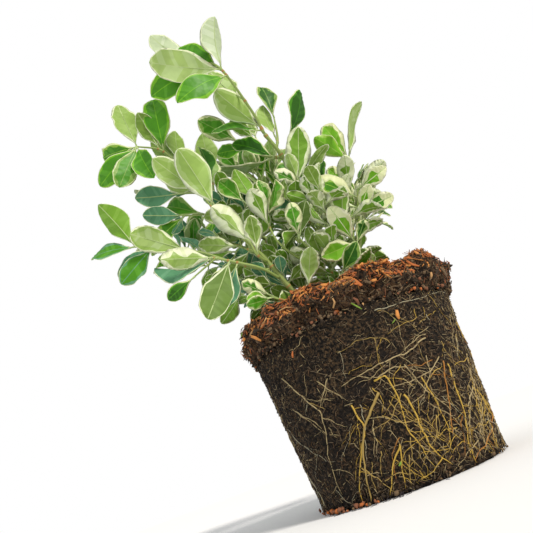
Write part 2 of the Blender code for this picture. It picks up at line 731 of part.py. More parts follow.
def grow_rest(name, main, rng, crowd):
    """The side twigs of a mass and the leaves that the rule gives it, as closed shells."""
    shoot = SHOOTS[name]
    twigs = [main] if shoot.gap else []
    shells = []
    for twig in side_twigs(main, shoot.forks, shoot.turn, rng):
        shell = tube_shell(twig, SIDE_TWIG_SIDES, LIMB_RING_STEP)
        if not crowd.touches(*shell, name):
            twigs.append(twig)
            shells.append(shell)
            crowd.add(name, *shell)
    for twig in twigs:
        for place in list(leaf_places(twig, shoot, rng)):
            leaf = try_leaf(name, twig, (*place, int(rng.integers(1e6))), crowd, main)
            if leaf:
                shells.append(leaf_shell(leaf))
                crowd.add(name, *shells[-1])
    return shells


def grow_masses(spines, crowd):
    """Every mass as closed shells: main twigs first, then leading leaves, then all the rest."""
    mains = grow_main_twigs(spines, crowd)
    masses = {name: [tube_shell(main, TWIG_SIDES, TWIG_RING_STEP)] for name, main in mains.items()}
    for name, main in mains.items():
        masses[name] += grow_leading_leaves(name, main, crowd)
    for number, (name, main) in enumerate(mains.items()):
        masses[name] += grow_rest(name, main, np.random.default_rng(FIRST_SEED + number), crowd)
    return masses


def keep_main_body(mesh):
    """Drops the loose scraps that a union can leave beside the one body."""
    bm = bmesh.new()
    bm.from_mesh(mesh)
    left = set(bm.verts)
    bodies = []
    while left:
        body = {left.pop()}
        edge = list(body)
        while edge:
            vert = edge.pop()
            for other in (link.other_vert(vert) for link in vert.link_edges):
                if other in left:
                    left.remove(other)
                    body.add(other)
                    edge.append(other)
        bodies.append(body)
    bodies.sort(key=len)
    for body in bodies[:-1]:
        bmesh.ops.delete(bm, geom=list(body), context="VERTS")
    bm.to_mesh(mesh)
    bm.free()


def joined_object(name, shells, surface):
    """One closed body from many closed shells, joined by a single union."""
    group = bpy.data.collections.new(name + "_pieces")
    bpy.context.scene.collection.children.link(group)
    body = None
    for points, faces in shells:
        mesh = bpy.data.meshes.new(name)
        mesh.from_pydata([tuple(p) for p in points], [], faces)
        bm = bmesh.new()
        bm.from_mesh(mesh)
        bmesh.ops.recalc_face_normals(bm, faces=bm.faces)
        bm.to_mesh(mesh)
        bm.free()
        piece = bpy.data.objects.new(name, mesh)
        if body is None:
            body = piece
            bpy.context.scene.collection.objects.link(body)
        else:
            group.objects.link(piece)
    union = body.modifiers.new("Join", "BOOLEAN")
    union.operation = "UNION"
    union.operand_type = "COLLECTION"
    union.collection = group
    union.solver = "MANIFOLD"
    bpy.context.view_layer.update()
    graph = bpy.context.evaluated_depsgraph_get()
    joined = bpy.data.meshes.new_from_object(body.evaluated_get(graph))
    keep_main_body(joined)
    body.modifiers.clear()
    body.data = joined
    body.data.materials.clear()
    body.data.materials.append(surface)
    for piece in list(group.objects):
        bpy.data.objects.remove(piece, do_unlink=True)
    bpy.data.collections.remove(group)
    body.name = name
    return body


def ball_radius(height):
    share = np.clip(height / BALL_HEIGHT, 0, 1)
    return BALL_FOOT_RADIUS + (BALL_TOP_RADIUS - BALL_FOOT_RADIUS) * share


def turned_body(profile, sides):
    """A closed body turned round the Z axis from a profile that starts and ends on it."""
    bm = bmesh.new()
    verts = [bm.verts.new((radius, 0, height)) for radius, height in profile]
    edges = [bm.edges.new(pair) for pair in zip(verts, verts[1:])]
    bmesh.ops.spin(
        bm, geom=verts + edges, cent=(0, 0, 0), axis=(0, 0, 1),
        angle=2 * math.pi, steps=sides, use_merge=True,
    )
    bmesh.ops.remove_doubles(bm, verts=bm.verts, dist=0.01 * MM)
    return bm


def lump(co, size, depth):
    return noise.noise(Vector(co) / size) * depth


def root_ball():
    courses = np.linspace(BALL_EDGE, BALL_HEIGHT - BALL_EDGE, BALL_COURSES)
    profile = [(0, 0), (BALL_FOOT_RADIUS - BALL_EDGE, 0)]
    profile += [(ball_radius(height), height) for height in courses]
    profile += [(BALL_TOP_RADIUS - BALL_EDGE, BALL_HEIGHT), (0, BALL_HEIGHT)]
    bm = turned_body(profile, BALL_SIDES)
    for vert in bm.verts:
        if BALL_EDGE * 0.5 < vert.co.z < BALL_HEIGHT - BALL_EDGE * 0.5:
            outward = Vector((vert.co.x, vert.co.y, 0)).normalized()
            vert.co += outward * lump(vert.co, BALL_LUMP_SIZE, BALL_LUMP)
    ball = shell_of(bm)
    bm.free()
    return joined_object("root_ball", [ball] + list(side_roots()), material("soil", 0.95))


def side_roots():
    """Roots that wander down and round the side of the ball, half sunk in it."""
    rng = np.random.default_rng(ROOT_SEED)
    for k in range(ROOT_COUNT):
        turn = 2 * math.pi * (k + rng.uniform(0.1, 0.9)) / ROOT_COUNT
        height = rng.uniform(*ROOT_STARTS) * BALL_HEIGHT
        drop = (height - ROOT_END) / ROOT_PIECES
        drift = rng.uniform(-ROOT_DRIFT, ROOT_DRIFT)
        places = []
        for _ in range(ROOT_PIECES):
            radius = ball_radius(height) + ROOT_PROUD
            places.append((radius * math.cos(turn), radius * math.sin(turn), height))
            height -= drop * rng.uniform(*ROOT_STEP)
            turn += drift + rng.uniform(-ROOT_DRIFT, ROOT_DRIFT)
        yield tube_shell(Spine(smooth_line(np.array(places)), *ROOT_RADIUS), TWIG_SIDES, LIMB_RING_STEP)


def nearness(outward, middle, spread):
    """One where outward has the turn `middle`, in degrees, falling to nothing `spread` degrees away."""
    off = (math.degrees(math.atan2(outward.y, outward.x)) - middle + 180) % 360 - 180
    return 0.5 + 0.5 * math.cos(math.pi * min(1, abs(off) / spread))


def bark_mulch(crowd):
    """The collar of bark, worn in front, higher at its sides, level in the middle for the stems."""
    foot = BALL_HEIGHT + GAP
    middle = (foot + MULCH_RIM) / 2
    profile = [
        (0, foot),
        (MULCH_RADIUS - MULCH_EDGE, foot),
        (MULCH_RADIUS, middle),
        (MULCH_RADIUS - MULCH_EDGE, MULCH_RIM - MULCH_EDGE),
        (MULCH_RADIUS - 2 * MULCH_EDGE, MULCH_RIM),
        ((MULCH_RADIUS + MULCH_FLAT_RADIUS) / 2, (MULCH_RIM + MULCH_TOP) / 2),
        (MULCH_FLAT_RADIUS, MULCH_TOP),
        (0, MULCH_TOP),
    ]
    bm = turned_body(profile, MULCH_SIDES)
    for vert in bm.verts:
        radius = math.hypot(vert.co.x, vert.co.y)
        if radius < MULCH_FLAT_RADIUS + MM:
            continue
        outward = Vector((vert.co.x, vert.co.y, 0)).normalized()
        outside = (radius - MULCH_FLAT_RADIUS) / (MULCH_RADIUS - MULCH_FLAT_RADIUS)
        vert.co -= outward * MULCH_WORN * nearness(outward, MULCH_WORN_TURN, MULCH_WORN_SPREAD) * outside
        if vert.co.z > foot + MM:
            share = (vert.co.z - foot) / (MULCH_RIM - foot)
            vert.co.z -= MULCH_DIP * nearness(outward, MULCH_DIP_TURN, MULCH_DIP_SPREAD) * outside * share
            rise = MULCH_RISE_RIGHT if outward.x > 0 else MULCH_RISE_LEFT
            vert.co.z += rise * outward.x**2 * outside * share
            vert.co.z += lump(vert.co, MULCH_LUMP_SIZE, MULCH_LUMP)
            vert.co += outward * lump(vert.co * MULCH_SIDE_NOISE, MULCH_LUMP_SIZE, MULCH_LUMP)
    crowd.add("bark_mulch", *shell_of(bm))
    return new_object("bark_mulch", bm, material("bark", 0.9))


def main():
    clear_scene()
    crowd = Crowd()
    root_ball()
    bark_mulch(crowd)
    spines = grow_limbs()
    for name, spine in spines.items():
        limb_object(name, spine, LIMBS[name].parent is None)
        crowd.add(name, *tube_shell(spine, LIMB_SIDES, LIMB_RING_STEP))
    for name, shells in grow_masses(spines, crowd).items():
        joined_object(name, shells, material("cream_leaf" if name in CREAM_MASSES else "leaf"))


if __name__ == "__main__":
    main()
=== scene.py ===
"""The looks of a young variegated euonymus that stands on its own root ball.

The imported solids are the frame. Stems with nodes and bark take the place of the plain limbs, and
each mass of leaves grows again by the rule that made its solid: the same twigs and leaves, now
with petioles, ribs, cream margins and marbled hearts, and finer twigs between them. The root ball
becomes potting mix held by a net of roots, under a collar of bark mulch.
"""

import json
import math
from collections import namedtuple

import bmesh
import bpy
import numpy as np
from mathutils import Matrix, Vector, noise
from mathutils.bvhtree import BVHTree

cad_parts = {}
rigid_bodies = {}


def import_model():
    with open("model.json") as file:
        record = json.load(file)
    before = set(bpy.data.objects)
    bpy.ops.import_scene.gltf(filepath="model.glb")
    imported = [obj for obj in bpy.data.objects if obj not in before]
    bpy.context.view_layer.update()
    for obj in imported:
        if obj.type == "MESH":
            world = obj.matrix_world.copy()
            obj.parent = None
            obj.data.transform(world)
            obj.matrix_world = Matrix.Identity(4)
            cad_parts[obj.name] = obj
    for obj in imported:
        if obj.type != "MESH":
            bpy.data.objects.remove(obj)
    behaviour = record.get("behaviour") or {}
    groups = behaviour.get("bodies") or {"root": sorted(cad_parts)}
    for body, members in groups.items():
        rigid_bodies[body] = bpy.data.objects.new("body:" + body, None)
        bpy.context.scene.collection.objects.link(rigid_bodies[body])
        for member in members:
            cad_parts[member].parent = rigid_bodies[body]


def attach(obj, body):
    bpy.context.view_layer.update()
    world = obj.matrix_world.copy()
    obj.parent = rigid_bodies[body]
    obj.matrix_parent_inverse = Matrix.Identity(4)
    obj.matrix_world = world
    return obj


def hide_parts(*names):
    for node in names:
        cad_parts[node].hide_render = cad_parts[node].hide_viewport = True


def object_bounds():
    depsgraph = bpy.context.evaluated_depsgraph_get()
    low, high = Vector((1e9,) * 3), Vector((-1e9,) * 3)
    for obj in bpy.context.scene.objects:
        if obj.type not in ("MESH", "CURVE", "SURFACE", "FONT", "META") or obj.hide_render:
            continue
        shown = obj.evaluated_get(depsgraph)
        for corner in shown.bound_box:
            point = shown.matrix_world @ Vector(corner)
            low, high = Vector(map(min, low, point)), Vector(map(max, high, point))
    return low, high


bl_info = {
    "name": "Variegated Euonymus on a Root Ball",
    "version": (1, 0, 0),
    "blender": (4, 5, 0),
    "location": "View3D > Sidebar > Euonymus",
    "description": "Stems, leaves, bark mulch and roots of a young shrub out of its pot",
    "category": "Add Mesh",
}

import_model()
cad_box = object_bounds()

MM = 0.001
GAP = 0.3 * MM
BODY = "root"

# Limbs, as the frame has them
LIMB_SIDES = 6
LIMB_RING_STEP = 14 * MM
SPINE_STEP = 1.5 * MM

# Leaves
LEAF_THICKNESS = 0.62 * MM
LEAF_PROFILE = ((0.36, 0.86), (0.73, 0.94))
LEAF_TIP_WIDTH = 0.36
LEAF_SLENDERNESS = 0.46
PETIOLE_LENGTH = 4.0 * MM
PETIOLE_HALF_WIDTH = 0.8 * MM
ROOT_SINK = 0.7 * MM
LEAF_GAP = 0.35 * MM
CROWN_MIDDLE = np.array([-35, 25]) * MM
ROLL_JITTER = 25
LEAF_BOW = (0.1, 0.5)
LEAF_FOLD = (0.0, 0.35)
BLADE_FROM = 5
TRIES = (0, 22, -22, 45, -45, 70, -70)
LEADING_TRIES = (0, 5, -5, 10, -10, 15, -15)
TO_VIEWER = np.array([0.05, -0.92, -0.38])

# What a leaf's face turns to: along its twig, to the sky, and to the middle of the crown
WAY_PULL = 0.35
SKY_PULL = 0.7
INWARD_PULL = 0.75
SIDEWAYS_SHARE = 0.35

# Pairs of leaves along a twig: spread and size from its foot to its tip, and how much they vary
SPREAD_AT_FOOT = 60
SPREAD_AT_TIP = 34
SPREAD_JITTER = 10
TURN_JITTER = 14
SIZE_AT_FOOT = 1.02
SIZE_AT_TIP = 0.80
SIZE_JITTER = (0.86, 1.1)
GAP_AT_FOOT = 1.08
GAP_AT_TIP = 0.73
GAP_JITTER = (0.9, 1.1)
LAST_GAP = 0.35
TIP_SPREAD = (18, 30)
TIP_SIZE = (0.62, 0.8)
TIP_SINK = 0.8 * MM
SIDE_GAP = 18

# Twigs
TWIG_SIDES = 4
TWIG_RING_STEP = 8 * MM
TWIG_RADIUS = (1.25 * MM, 0.65 * MM)
SIDE_TWIG_SIDES = 3
SIDE_TWIG_RADIUS = (0.8 * MM, 0.55 * MM)
SIDE_TWIG_REACH = (0.34, 0.48)
SIDE_TWIG_TURN = 25
SIDE_TWIG_STARTS = (0.8, 0.9)
FORWARD_AT_FOOT = 0.55
FORWARD_AT_TIP = 1.0
RISE_AT_TIP = 0.5
LEAD_IN = 12 * MM
SPACE_RADIUS = 60 * MM
FIRST_SEED = 1000

# Collar of bark mulch over the ball
MULCH_RADIUS = 81 * MM
MULCH_TOP = 136 * MM
MULCH_RIM = 132 * MM
MULCH_RISE_LEFT = 3 * MM
MULCH_RISE_RIGHT = 10 * MM
MULCH_DIP = 6 * MM
MULCH_DIP_TURN = -52
MULCH_DIP_SPREAD = 28
MULCH_WORN = 5 * MM
MULCH_WORN_TURN = -92
MULCH_WORN_SPREAD = 48
MULCH_EDGE = 4 * MM
MULCH_FLAT_RADIUS = 44 * MM
MULCH_LUMP = 2.2 * MM
MULCH_LUMP_SIZE = 15 * MM
MULCH_SIDE_NOISE = 1.7
MULCH_SIDES = 44

# Each limb starts in the mulch (parent None) or on its parent, at a share of its length.
Limb = namedtuple("Limb", "parent at thick thin places")
LIMBS = {
    "stem_leader": Limb(None, 0, 2.2, 1.4,
        ((2, 8, 136), (8, 3, 190), (6, -4, 235), (3, -20, 262), (-3, -30, 281)),
    ),
    "stem_left": Limb(None, 0, 1.8, 1.2,
        ((-23, -24, 136), (-31, -31, 157), (-39, -38, 180), (-52, -56, 205)),
    ),
    "stem_far_left": Limb(None, 0, 2.0, 1.3,
        ((-12, 14, 136), (-30, 6, 195), (-51, -2, 241), (-76, -18, 288)),
    ),
    "stem_right": Limb(None, 0, 1.6, 1.2, ((18, -16, 136), (23, -20, 149), (32, -22, 167), (38, -23, 183))),
    "stem_right_back": Limb(None, 0, 1.7, 1.2, ((19, 16, 136), (28, 12, 175), (42, 10, 215))),
    "stem_back": Limb(None, 0, 2.0, 1.3, ((2, 30, 136), (-8, 42, 195), (-16, 50, 250))),
    "stem_back_left": Limb(None, 0, 1.8, 1.2, ((-20, 28, 136), (-44, 42, 180), (-78, 48, 215))),
    "bough_low_left": Limb("stem_left", 0.42, 1.2, 1.1, ((0, 0, 0), (-46, -36, 173), (-61, -44, 182))),
    "bough_back_right": Limb("stem_back", 0.3, 1.4, 1.1, ((0, 0, 0), (18, 52, 186), (38, 60, 210))),
}

# Each mass of leaves grows from the tip of a limb (at 1) or from its side. Its leaves stand in pairs
# from `first` on, `gap` apart, and a `gap` of nothing leaves its main twig to its leading leaves.
Shoot = namedtuple("Shoot", "limb at leaf first gap turn forks places")
SHOOTS = {
    "leaves_top": Shoot("stem_leader", 1, 44, 0, 0, 130, 0,
        ((-5, -40, 297), (-14, -68, 324), (-24, -66, 340), (-34, -60, 352)),
    ),
    "leaves_leader_left": Shoot("stem_leader", 0.84, 36, 0, 0, 30, 1, ((-12, -10, 276), (-26, -12, 296))),
    "leaves_leader_back": Shoot("stem_leader", 0.9, 34, 0, 0, 0, 0, ((6, -14, 284), (10, -8, 308))),
    "leaves_lone": Shoot("stem_leader", 0.8, 50, 0, 0, 70, 0, ((9, -26, 263),)),
    "leaves_upper_left": Shoot("stem_far_left", 1, 43, 0, 0, 90, 0,
        ((-84, -24, 301), (-91, -30, 310), (-108, -34, 319)),
    ),
    "leaves_middle_left": Shoot("stem_far_left", 0.8, 40, 0, 0, 40, 0, ((-62, -4, 268), (-58, -6, 284))),
    "leaves_side_left": Shoot("stem_far_left", 0.72, 42, 0, 0, 60, 0, ((-72, -16, 262), (-86, -24, 265))),
    "leaves_side_low": Shoot("stem_far_left", 0.5, 36, 0, 0, 60, 0, ((-66, -14, 238), (-90, -22, 246))),
    "leaves_left": Shoot("stem_left", 1, 40, 0, 0, 90, 0, ((-53, -60, 213), (-56, -64, 220))),
    "leaves_left_back": Shoot("stem_left", 0.9, 38, 0, 0, 90, 0, ((-60, -46, 226), (-66, -48, 246))),
    "leaves_low_left": Shoot("bough_low_left", 1, 40, 0, 0, 90, 0,
        ((-80, -52, 196), (-108, -60, 210), (-122, -64, 215)),
    ),
    "leaves_front_left": Shoot("stem_left", 0.3, 38, 0, 0, 90, 0,
        ((-42, -46, 168), (-56, -55, 176), (-70, -61, 184)),
    ),
    "leaves_low_spray": Shoot("stem_left", 0.03, 27, 0, 0, 90, 0, ((-36, -42, 141), (-42, -48, 144))),
    "leaves_front_low": Shoot("stem_left", 0.1, 34, 0, 0, 90, 0, ((-19, -36, 141), (-16, -44, 140))),
    "leaves_left_inner": Shoot("stem_left", 0.5, 36, 0, 0, 80, 0, ((-41, -48, 178), (-42, -52, 188))),
    "leaves_inner_left": Shoot("stem_far_left", 0.45, 32, 8, 12, 20, 1, ((-44, -12, 216), (-50, -28, 234))),
    "leaves_inner_low": Shoot("stem_left", 0.62, 32, 8, 12, 60, 1, ((-54, -30, 198), (-66, -24, 212))),
    "leaves_inner_foot": Shoot("stem_far_left", 0.05, 32, 14, 12, 60, 1,
        ((-26, -12, 150), (-42, -26, 162)),
    ),
    "leaves_centre_left": Shoot("stem_leader", 0.14, 34, 0, 0, 50, 1,
        ((-12, -24, 168), (-24, -40, 184), (-26, -43, 204)),
    ),
    "leaves_centre_front": Shoot("stem_leader", 0.2, 34, 0, 0, 90, 0, ((-2, -26, 168), (-9, -42, 180))),
    "leaves_centre_middle": Shoot("stem_leader", 0.34, 30, 8, 12, 60, 1, ((4, -14, 196), (-4, -30, 210))),
    "leaves_centre_foot": Shoot("stem_leader", 0.06, 34, 26, 16, 100, 1, ((4, -18, 150), (2, -30, 164))),
    "leaves_centre_top": Shoot("stem_leader", 0.58, 36, 0, 0, 80, 0, ((12, -16, 225), (7, -28, 229))),
    "leaves_low_behind": Shoot("stem_far_left", 0.2, 34, 18, 18, 90, 1, ((-50, 0, 164), (-74, -6, 174))),
    "leaves_low_middle": Shoot("stem_far_left", 0.14, 32, 12, 14, 40, 1, ((-24, -4, 164), (-32, -14, 182))),
    "leaves_right": Shoot("stem_right", 1, 34, 0, 0, 100, 0, ((43, -26, 196), (46, -28, 204))),
    "leaves_right_middle": Shoot("stem_right", 0.45, 34, 0, 0, 100, 0, ((28, -28, 166),)),
    "leaves_right_low": Shoot("stem_right", 0.08, 34, 0, 0, 60, 0, ((14, -28, 143), (8, -34, 144))),
    "leaves_right_inner": Shoot("stem_right", 0.6, 34, 12, 18, 70, 1, ((20, -30, 186), (12, -38, 204))),
    "leaves_right_upper": Shoot("stem_right_back", 1, 46, 0, 0, 80, 0, ((47, 10, 236), (55, 7, 250))),
    "leaves_right_back": Shoot("stem_right_back", 0.5, 34, 16, 18, 40, 1, ((36, 30, 200), (42, 40, 224))),
    "leaves_low_right": Shoot("stem_right_back", 0.15, 34, 12, 16, 40, 1, ((14, 2, 156), (8, -6, 170))),
    "leaves_back_top": Shoot("stem_back", 1, 40, 8, 22, 50, 2, ((-26, 58, 290), (-40, 62, 322))),
    "leaves_back_middle": Shoot("stem_back", 0.6, 40, 12, 22, 20, 1, ((-18, 72, 236), (-22, 90, 262))),
    "leaves_back_left": Shoot("stem_back_left", 1, 40, 8, 22, 30, 1, ((-104, 48, 236), (-126, 44, 258))),
    "leaves_back_low": Shoot("stem_back_left", 0.5, 38, 12, 20, 60, 1, ((-62, 66, 190), (-78, 84, 204))),
    "leaves_back_right": Shoot("bough_back_right", 1, 38, 8, 20, 80, 1, ((46, 66, 232), (49, 72, 252))),
    "leaves_back_foot": Shoot("bough_back_right", 0.5, 34, 12, 20, 20, 1, ((18, 76, 186), (16, 90, 196))),
}

# Leaves that make the crown's outline and its gaps in front. Each grows `run` along its main twig, on
# a bare side shoot of length `stalk`. Seen from the front, `heading` is its turn clockwise from straight
# up and `lean` how far it leans towards the viewer. A `roll` of 0 shows its underside, 180 its face.
Leading = namedtuple("Leading", "run heading lean stalk length roll")
LEADING_LEAVES = {
    "leaves_top": (
        Leading(5, -36, 37, 0, 47, 0),
        Leading(60, 15, 13, 0, 44, 50),
        Leading(60, -74, 25, 0, 55, 0),
        Leading(58, -33, -3, 4, 46, 200),
        Leading(100, -34, 10, 0, 46, 20),
        Leading(54, -119, 25, 0, 51, 195),
        Leading(72, -94, 6, 0, 54, 190),
        Leading(30, -20, -10, 6, 50, 20),
        Leading(3, -74, 12, 0, 42, 235),
    ),
    "leaves_leader_left": (
        Leading(4, -86, 18, 4, 50, 95),
        Leading(6, -53, 18, 0, 38, 205),
        Leading(60, -40, 14, 0, 42, 180),
        Leading(36, -76, 2, 0, 28, 180),
    ),
    "leaves_leader_back": (
        Leading(60, 0, -8, 0, 38, 200),
        Leading(8, 4, -7, 8, 40, 40),
    ),
    "leaves_lone": (
        Leading(60, 36, 12, 9, 41, 228),
    ),
    "leaves_upper_left": (
        Leading(28, -9, 22, 0, 37, 0),
        Leading(24, 3, 0, 0, 50, 190),
        Leading(48, -5, 6, 0, 46, 20),
        Leading(60, -152, 15, 0, 45, 170),
        Leading(60, -117, -2, 0, 46, 180),
        Leading(60, -76, -10, 0, 36, 180),
        Leading(4, 4, -10, 0, 44, 50),
        Leading(12, -16, -11, 0, 44, 20),
        Leading(57, 166, 4, 0, 42, 190),
    ),
    "leaves_middle_left": (
        Leading(60, 4, -5, 0, 45, 10),
        Leading(10, -30, -12, 0, 36, 200),
    ),
    "leaves_side_left": (
        Leading(60, -82, 22, 0, 38, 0),
        Leading(60, -60, 8, 0, 42, 55),
        Leading(12, -42, 6, 8, 36, 20),
        Leading(14, -48, -13, 14, 26, 0),
    ),
    "leaves_side_low": (
        Leading(80, -72, 18, 0, 34, 0),
        Leading(40, -50, -10, 6, 38, 190),
        Leading(60, -98, -5, 0, 36, 190),
        Leading(80, -140, 20, 0, 20, 30),
    ),
    "leaves_left": (
        Leading(60, -11, 21, 0, 50, 0),
    ),
    "leaves_left_back": (
        Leading(60, -34, 16, 0, 45, 10),
        Leading(30, 4, -6, 12, 44, 240),
    ),
    "leaves_low_left": (
        Leading(34, -62, 30, 0, 42, 0),
        Leading(80, -21, 19, 0, 42, 0),
        Leading(80, -77, -6, 0, 39, 225),
        Leading(59, -128, 12, 0, 36, 180),
        Leading(59, -104, -10, 0, 36, 0),
        Leading(30, -72, -17, 0, 32, 20),
    ),
    "leaves_front_left": (
        Leading(80, -77, 24, 0, 37, 0),
        Leading(50, -72, -7, 0, 50, 80),
        Leading(40, -148, 18, 0, 48, 0),
        Leading(34, -138, -4, 0, 38, 30),
        Leading(50, -110, 0, 20, 25, 180),
        Leading(40, -127, -10, 0, 24, 180),
    ),
    "leaves_low_spray": (
        Leading(60, -80, 28, 0, 19, 215),
        Leading(60, -100, 34, 0, 22, 180),
        Leading(18, -100, 20, 0, 15, 0),
        Leading(20, -46, 20, 6, 24, 180),
    ),
    "leaves_front_low": (
        Leading(60, 28, 26, 0, 31, 0),
    ),
    "leaves_left_inner": (
        Leading(10, 14, 28, 0, 30, 0),
        Leading(60, -27, 26, 0, 38, 0),
    ),
    "leaves_centre_left": (
        Leading(90, 12, 17, 0, 31, 225),
        Leading(90, 36, 13, 0, 31, 225),
        Leading(72, -6, 36, 0, 33, 0),
        Leading(90, -28, 6, 20, 30, 180),
        Leading(90, -10, -3, 20, 34, 10),
    ),
    "leaves_centre_front": (
        Leading(60, 10, 23, 0, 27, 180),
        Leading(60, 34, 18, 0, 28, 10),
        Leading(12, -65, 45, 0, 34, 20),
    ),
    "leaves_centre_top": (
        Leading(60, 22, 13, 0, 45, 0),
        Leading(27, -1, 20, 0, 25, 0),
        Leading(24, 61, 16, 0, 37, 60),
        Leading(16, 53, 10, 0, 26, 225),
        Leading(21, -46, 24, 0, 26, 180),
        Leading(25, -120, 27, 0, 35, 0),
    ),
    "leaves_right": (
        Leading(60, 70, 17, 0, 29, 0),
        Leading(60, 83, 24, 0, 27, 180),
        Leading(6, 91, 4, 0, 28, 180),
        Leading(4, 49, 37, 0, 24, 180),
        Leading(16, -52, 27, 0, 36, 180),
        Leading(8, -60, 28, 0, 30, 0),
    ),
    "leaves_right_middle": (
        Leading(60, -17, 34, 0, 33, 180),
        Leading(60, -103, 30, 0, 32, 180),
        Leading(4, 38, -6, 0, 22, 180),
    ),
    "leaves_right_low": (
        Leading(60, 51, 22, 0, 27, 180),
        Leading(30, 76, 24, 0, 30, 240),
        Leading(20, 84, 8, 0, 28, 0),
    ),
    "leaves_right_upper": (
        Leading(60, 33, 6, 0, 52, 60),
        Leading(60, -10, 10, 0, 39, 180),
        Leading(36, -39, 14, 0, 35, 180),
        Leading(5, 16, 40, 0, 33, 0),
    ),
}

# Leaf tones, each as sRGB hex with the hex of its mottles: hearts along the rib, marbled middles,
# margins, ribs, and the undersides
TONES = {
    "heart_deep": ("#2a5c0e", "#356a19"),
    "heart_green": ("#468615", "#539321"),
    "heart_fresh": ("#6dab1e", "#7cb430"),
    # The teal tones, given mostly to leaves low on the left and at the back, are partly the leaves' own blue-green and
    # partly painted cool shade.
    "heart_teal": ("#3a7a4e", "#478559"),
    "heart_sage": ("#7d9f4a", "#92b06a"),
    "middle_sage": ("#7a9c44", "#88a858"),
    "middle_grey": ("#99ae70", "#8aa35e"),
    "middle_fresh": ("#8cb63e", "#99c050"),
    "middle_teal": ("#5c9068", "#6b9b74"),
    "edge_cream": ("#dfe4b2", "#d5dba6"),
    "edge_ivory": ("#e9ebc6", "#e1e4b8"),
    "edge_lime": ("#d4dfa6", "#dee6b6"),
    "rib_pale": ("#b2c586", "#b2c586"),
    "under_sage": ("#90af54", "#9ab760"),
    "under_pale": ("#a1bb6b", "#aec582"),
    "under_green": ("#719d2e", "#7da73c"),
    "under_silver": ("#b9c9a0", "#c8d5b3"),
    # Painted shade: the next tone is a darker copy of under_green, for leaf undersides that sit in shade.
    "under_painted_shade": ("#5f7b32", "#68843b"),
    "under_teal": ("#568c66", "#659873"),
    "under_dull": ("#739237", "#809e47"),
    "under_edge": ("#e3eac4", "#d6dfb2"),
}
MOTTLED_SHARE = 0.35

# The looks of a leaf: tones to draw from, on its face and then below, the heart's share of the blade, the
# margin in millimetres, and the share of the length at which the heart ends
Mood = namedtuple("Mood", "hearts middles edges unders veils heart_share margin heart_end", defaults=(2.0,))
MOODS = {
    "sage": Mood("heart_sage", "middle_grey", "edge_cream", "under_sage", "under_pale", (0.4, 0.9), (0.5, 2.4)),
    "pale": Mood(
        "heart_sage heart_green", "middle_grey middle_sage", "edge_cream edge_ivory",
        "under_pale under_sage", "under_pale under_sage", (0.4, 0.9), (0.3, 2.0),
    ),
    "silver": Mood(
        "heart_sage", "middle_grey", "edge_cream", "under_silver", "under_silver under_pale", (0.4, 0.9), (0.4, 2.0)
    ),
    # Painted shade on the undersides: they take the darker copy of under_green.
    "dull": Mood(
        "heart_green", "middle_sage", "edge_cream", "under_painted_shade", "under_painted_shade", (0.6, 0.95), (0.3, 1.2)
    ),
    "fingered": Mood(
        "heart_fresh heart_green", "edge_cream", "edge_ivory", "under_green", "under_edge", (0.2, 0.9), (0.5, 2.5), 0.66
    ),
    "bright": Mood(
        "heart_fresh", "middle_fresh", "edge_cream", "under_green", "under_edge", (0.7, 0.95), (0.8, 4.0)
    ),
    "vivid": Mood("heart_green", "heart_fresh", "edge_cream", "under_green", "under_green", (0.7, 0.95), (0.2, 0.7)),
    "plain": Mood("heart_fresh", "middle_fresh", "edge_lime", "under_green", "under_green", (0.6, 0.95), (0.1, 0.35)),
    # Partly painted cool shade: this mood wears the teal tones, which are partly the leaves' own blue-green.
    "cool": Mood(
        "heart_green", "middle_teal", "edge_lime", "under_teal", "under_teal under_green", (0.6, 0.95), (0.1, 0.6)
    ),
    "fresh": Mood(
        "heart_fresh", "middle_fresh", "edge_lime", "under_green", "under_green under_pale", (0.5, 0.95), (0.3, 0.9)
    ),
    "green": Mood(
        "heart_green", "middle_fresh middle_sage", "edge_cream edge_lime",
        "under_green under_dull", "under_green", (0.4, 0.95), (0.3, 1.8),
    ),
    "dark": Mood(
        "heart_deep", "heart_green middle_sage", "edge_cream edge_lime",
        "under_dull under_green", "under_dull", (0.5, 0.98), (0.2, 1.3),
    ),
    # Partly painted cool shade: this mood wears the teal tones, which are partly the leaves' own blue-green.
    "teal": Mood("heart_teal", "middle_teal", "edge_lime edge_cream", "under_teal", "under_teal", (0.5, 0.95), (0.2, 0.7)),
    "olive": Mood(
        "heart_fresh heart_green", "middle_sage", "edge_lime edge_cream",
        "under_green under_dull", "under_dull", (0.4, 0.9), (0.2, 1.2),
    ),
    "marbled": Mood(
        "heart_green heart_deep", "middle_grey middle_sage", "edge_cream edge_ivory",
        "under_sage under_dull", "under_sage", (0.2, 0.9), (0.5, 3.2),
    ),
    "cream": Mood(
        "heart_fresh heart_green", "middle_grey middle_fresh", "edge_cream edge_ivory",
        "under_sage under_green", "under_edge", (0.4, 0.9), (2.2, 7.5),
    ),
    "ivory": Mood("heart_sage", "middle_grey", "edge_ivory", "under_pale", "under_edge", (0.2, 0.7), (3.5, 9.0)),
    "half": Mood(
        "heart_green heart_deep", "middle_grey", "edge_ivory edge_cream",
        "under_sage", "under_pale", (0.5, 0.95), (0.4, 7.0),
    ),
}

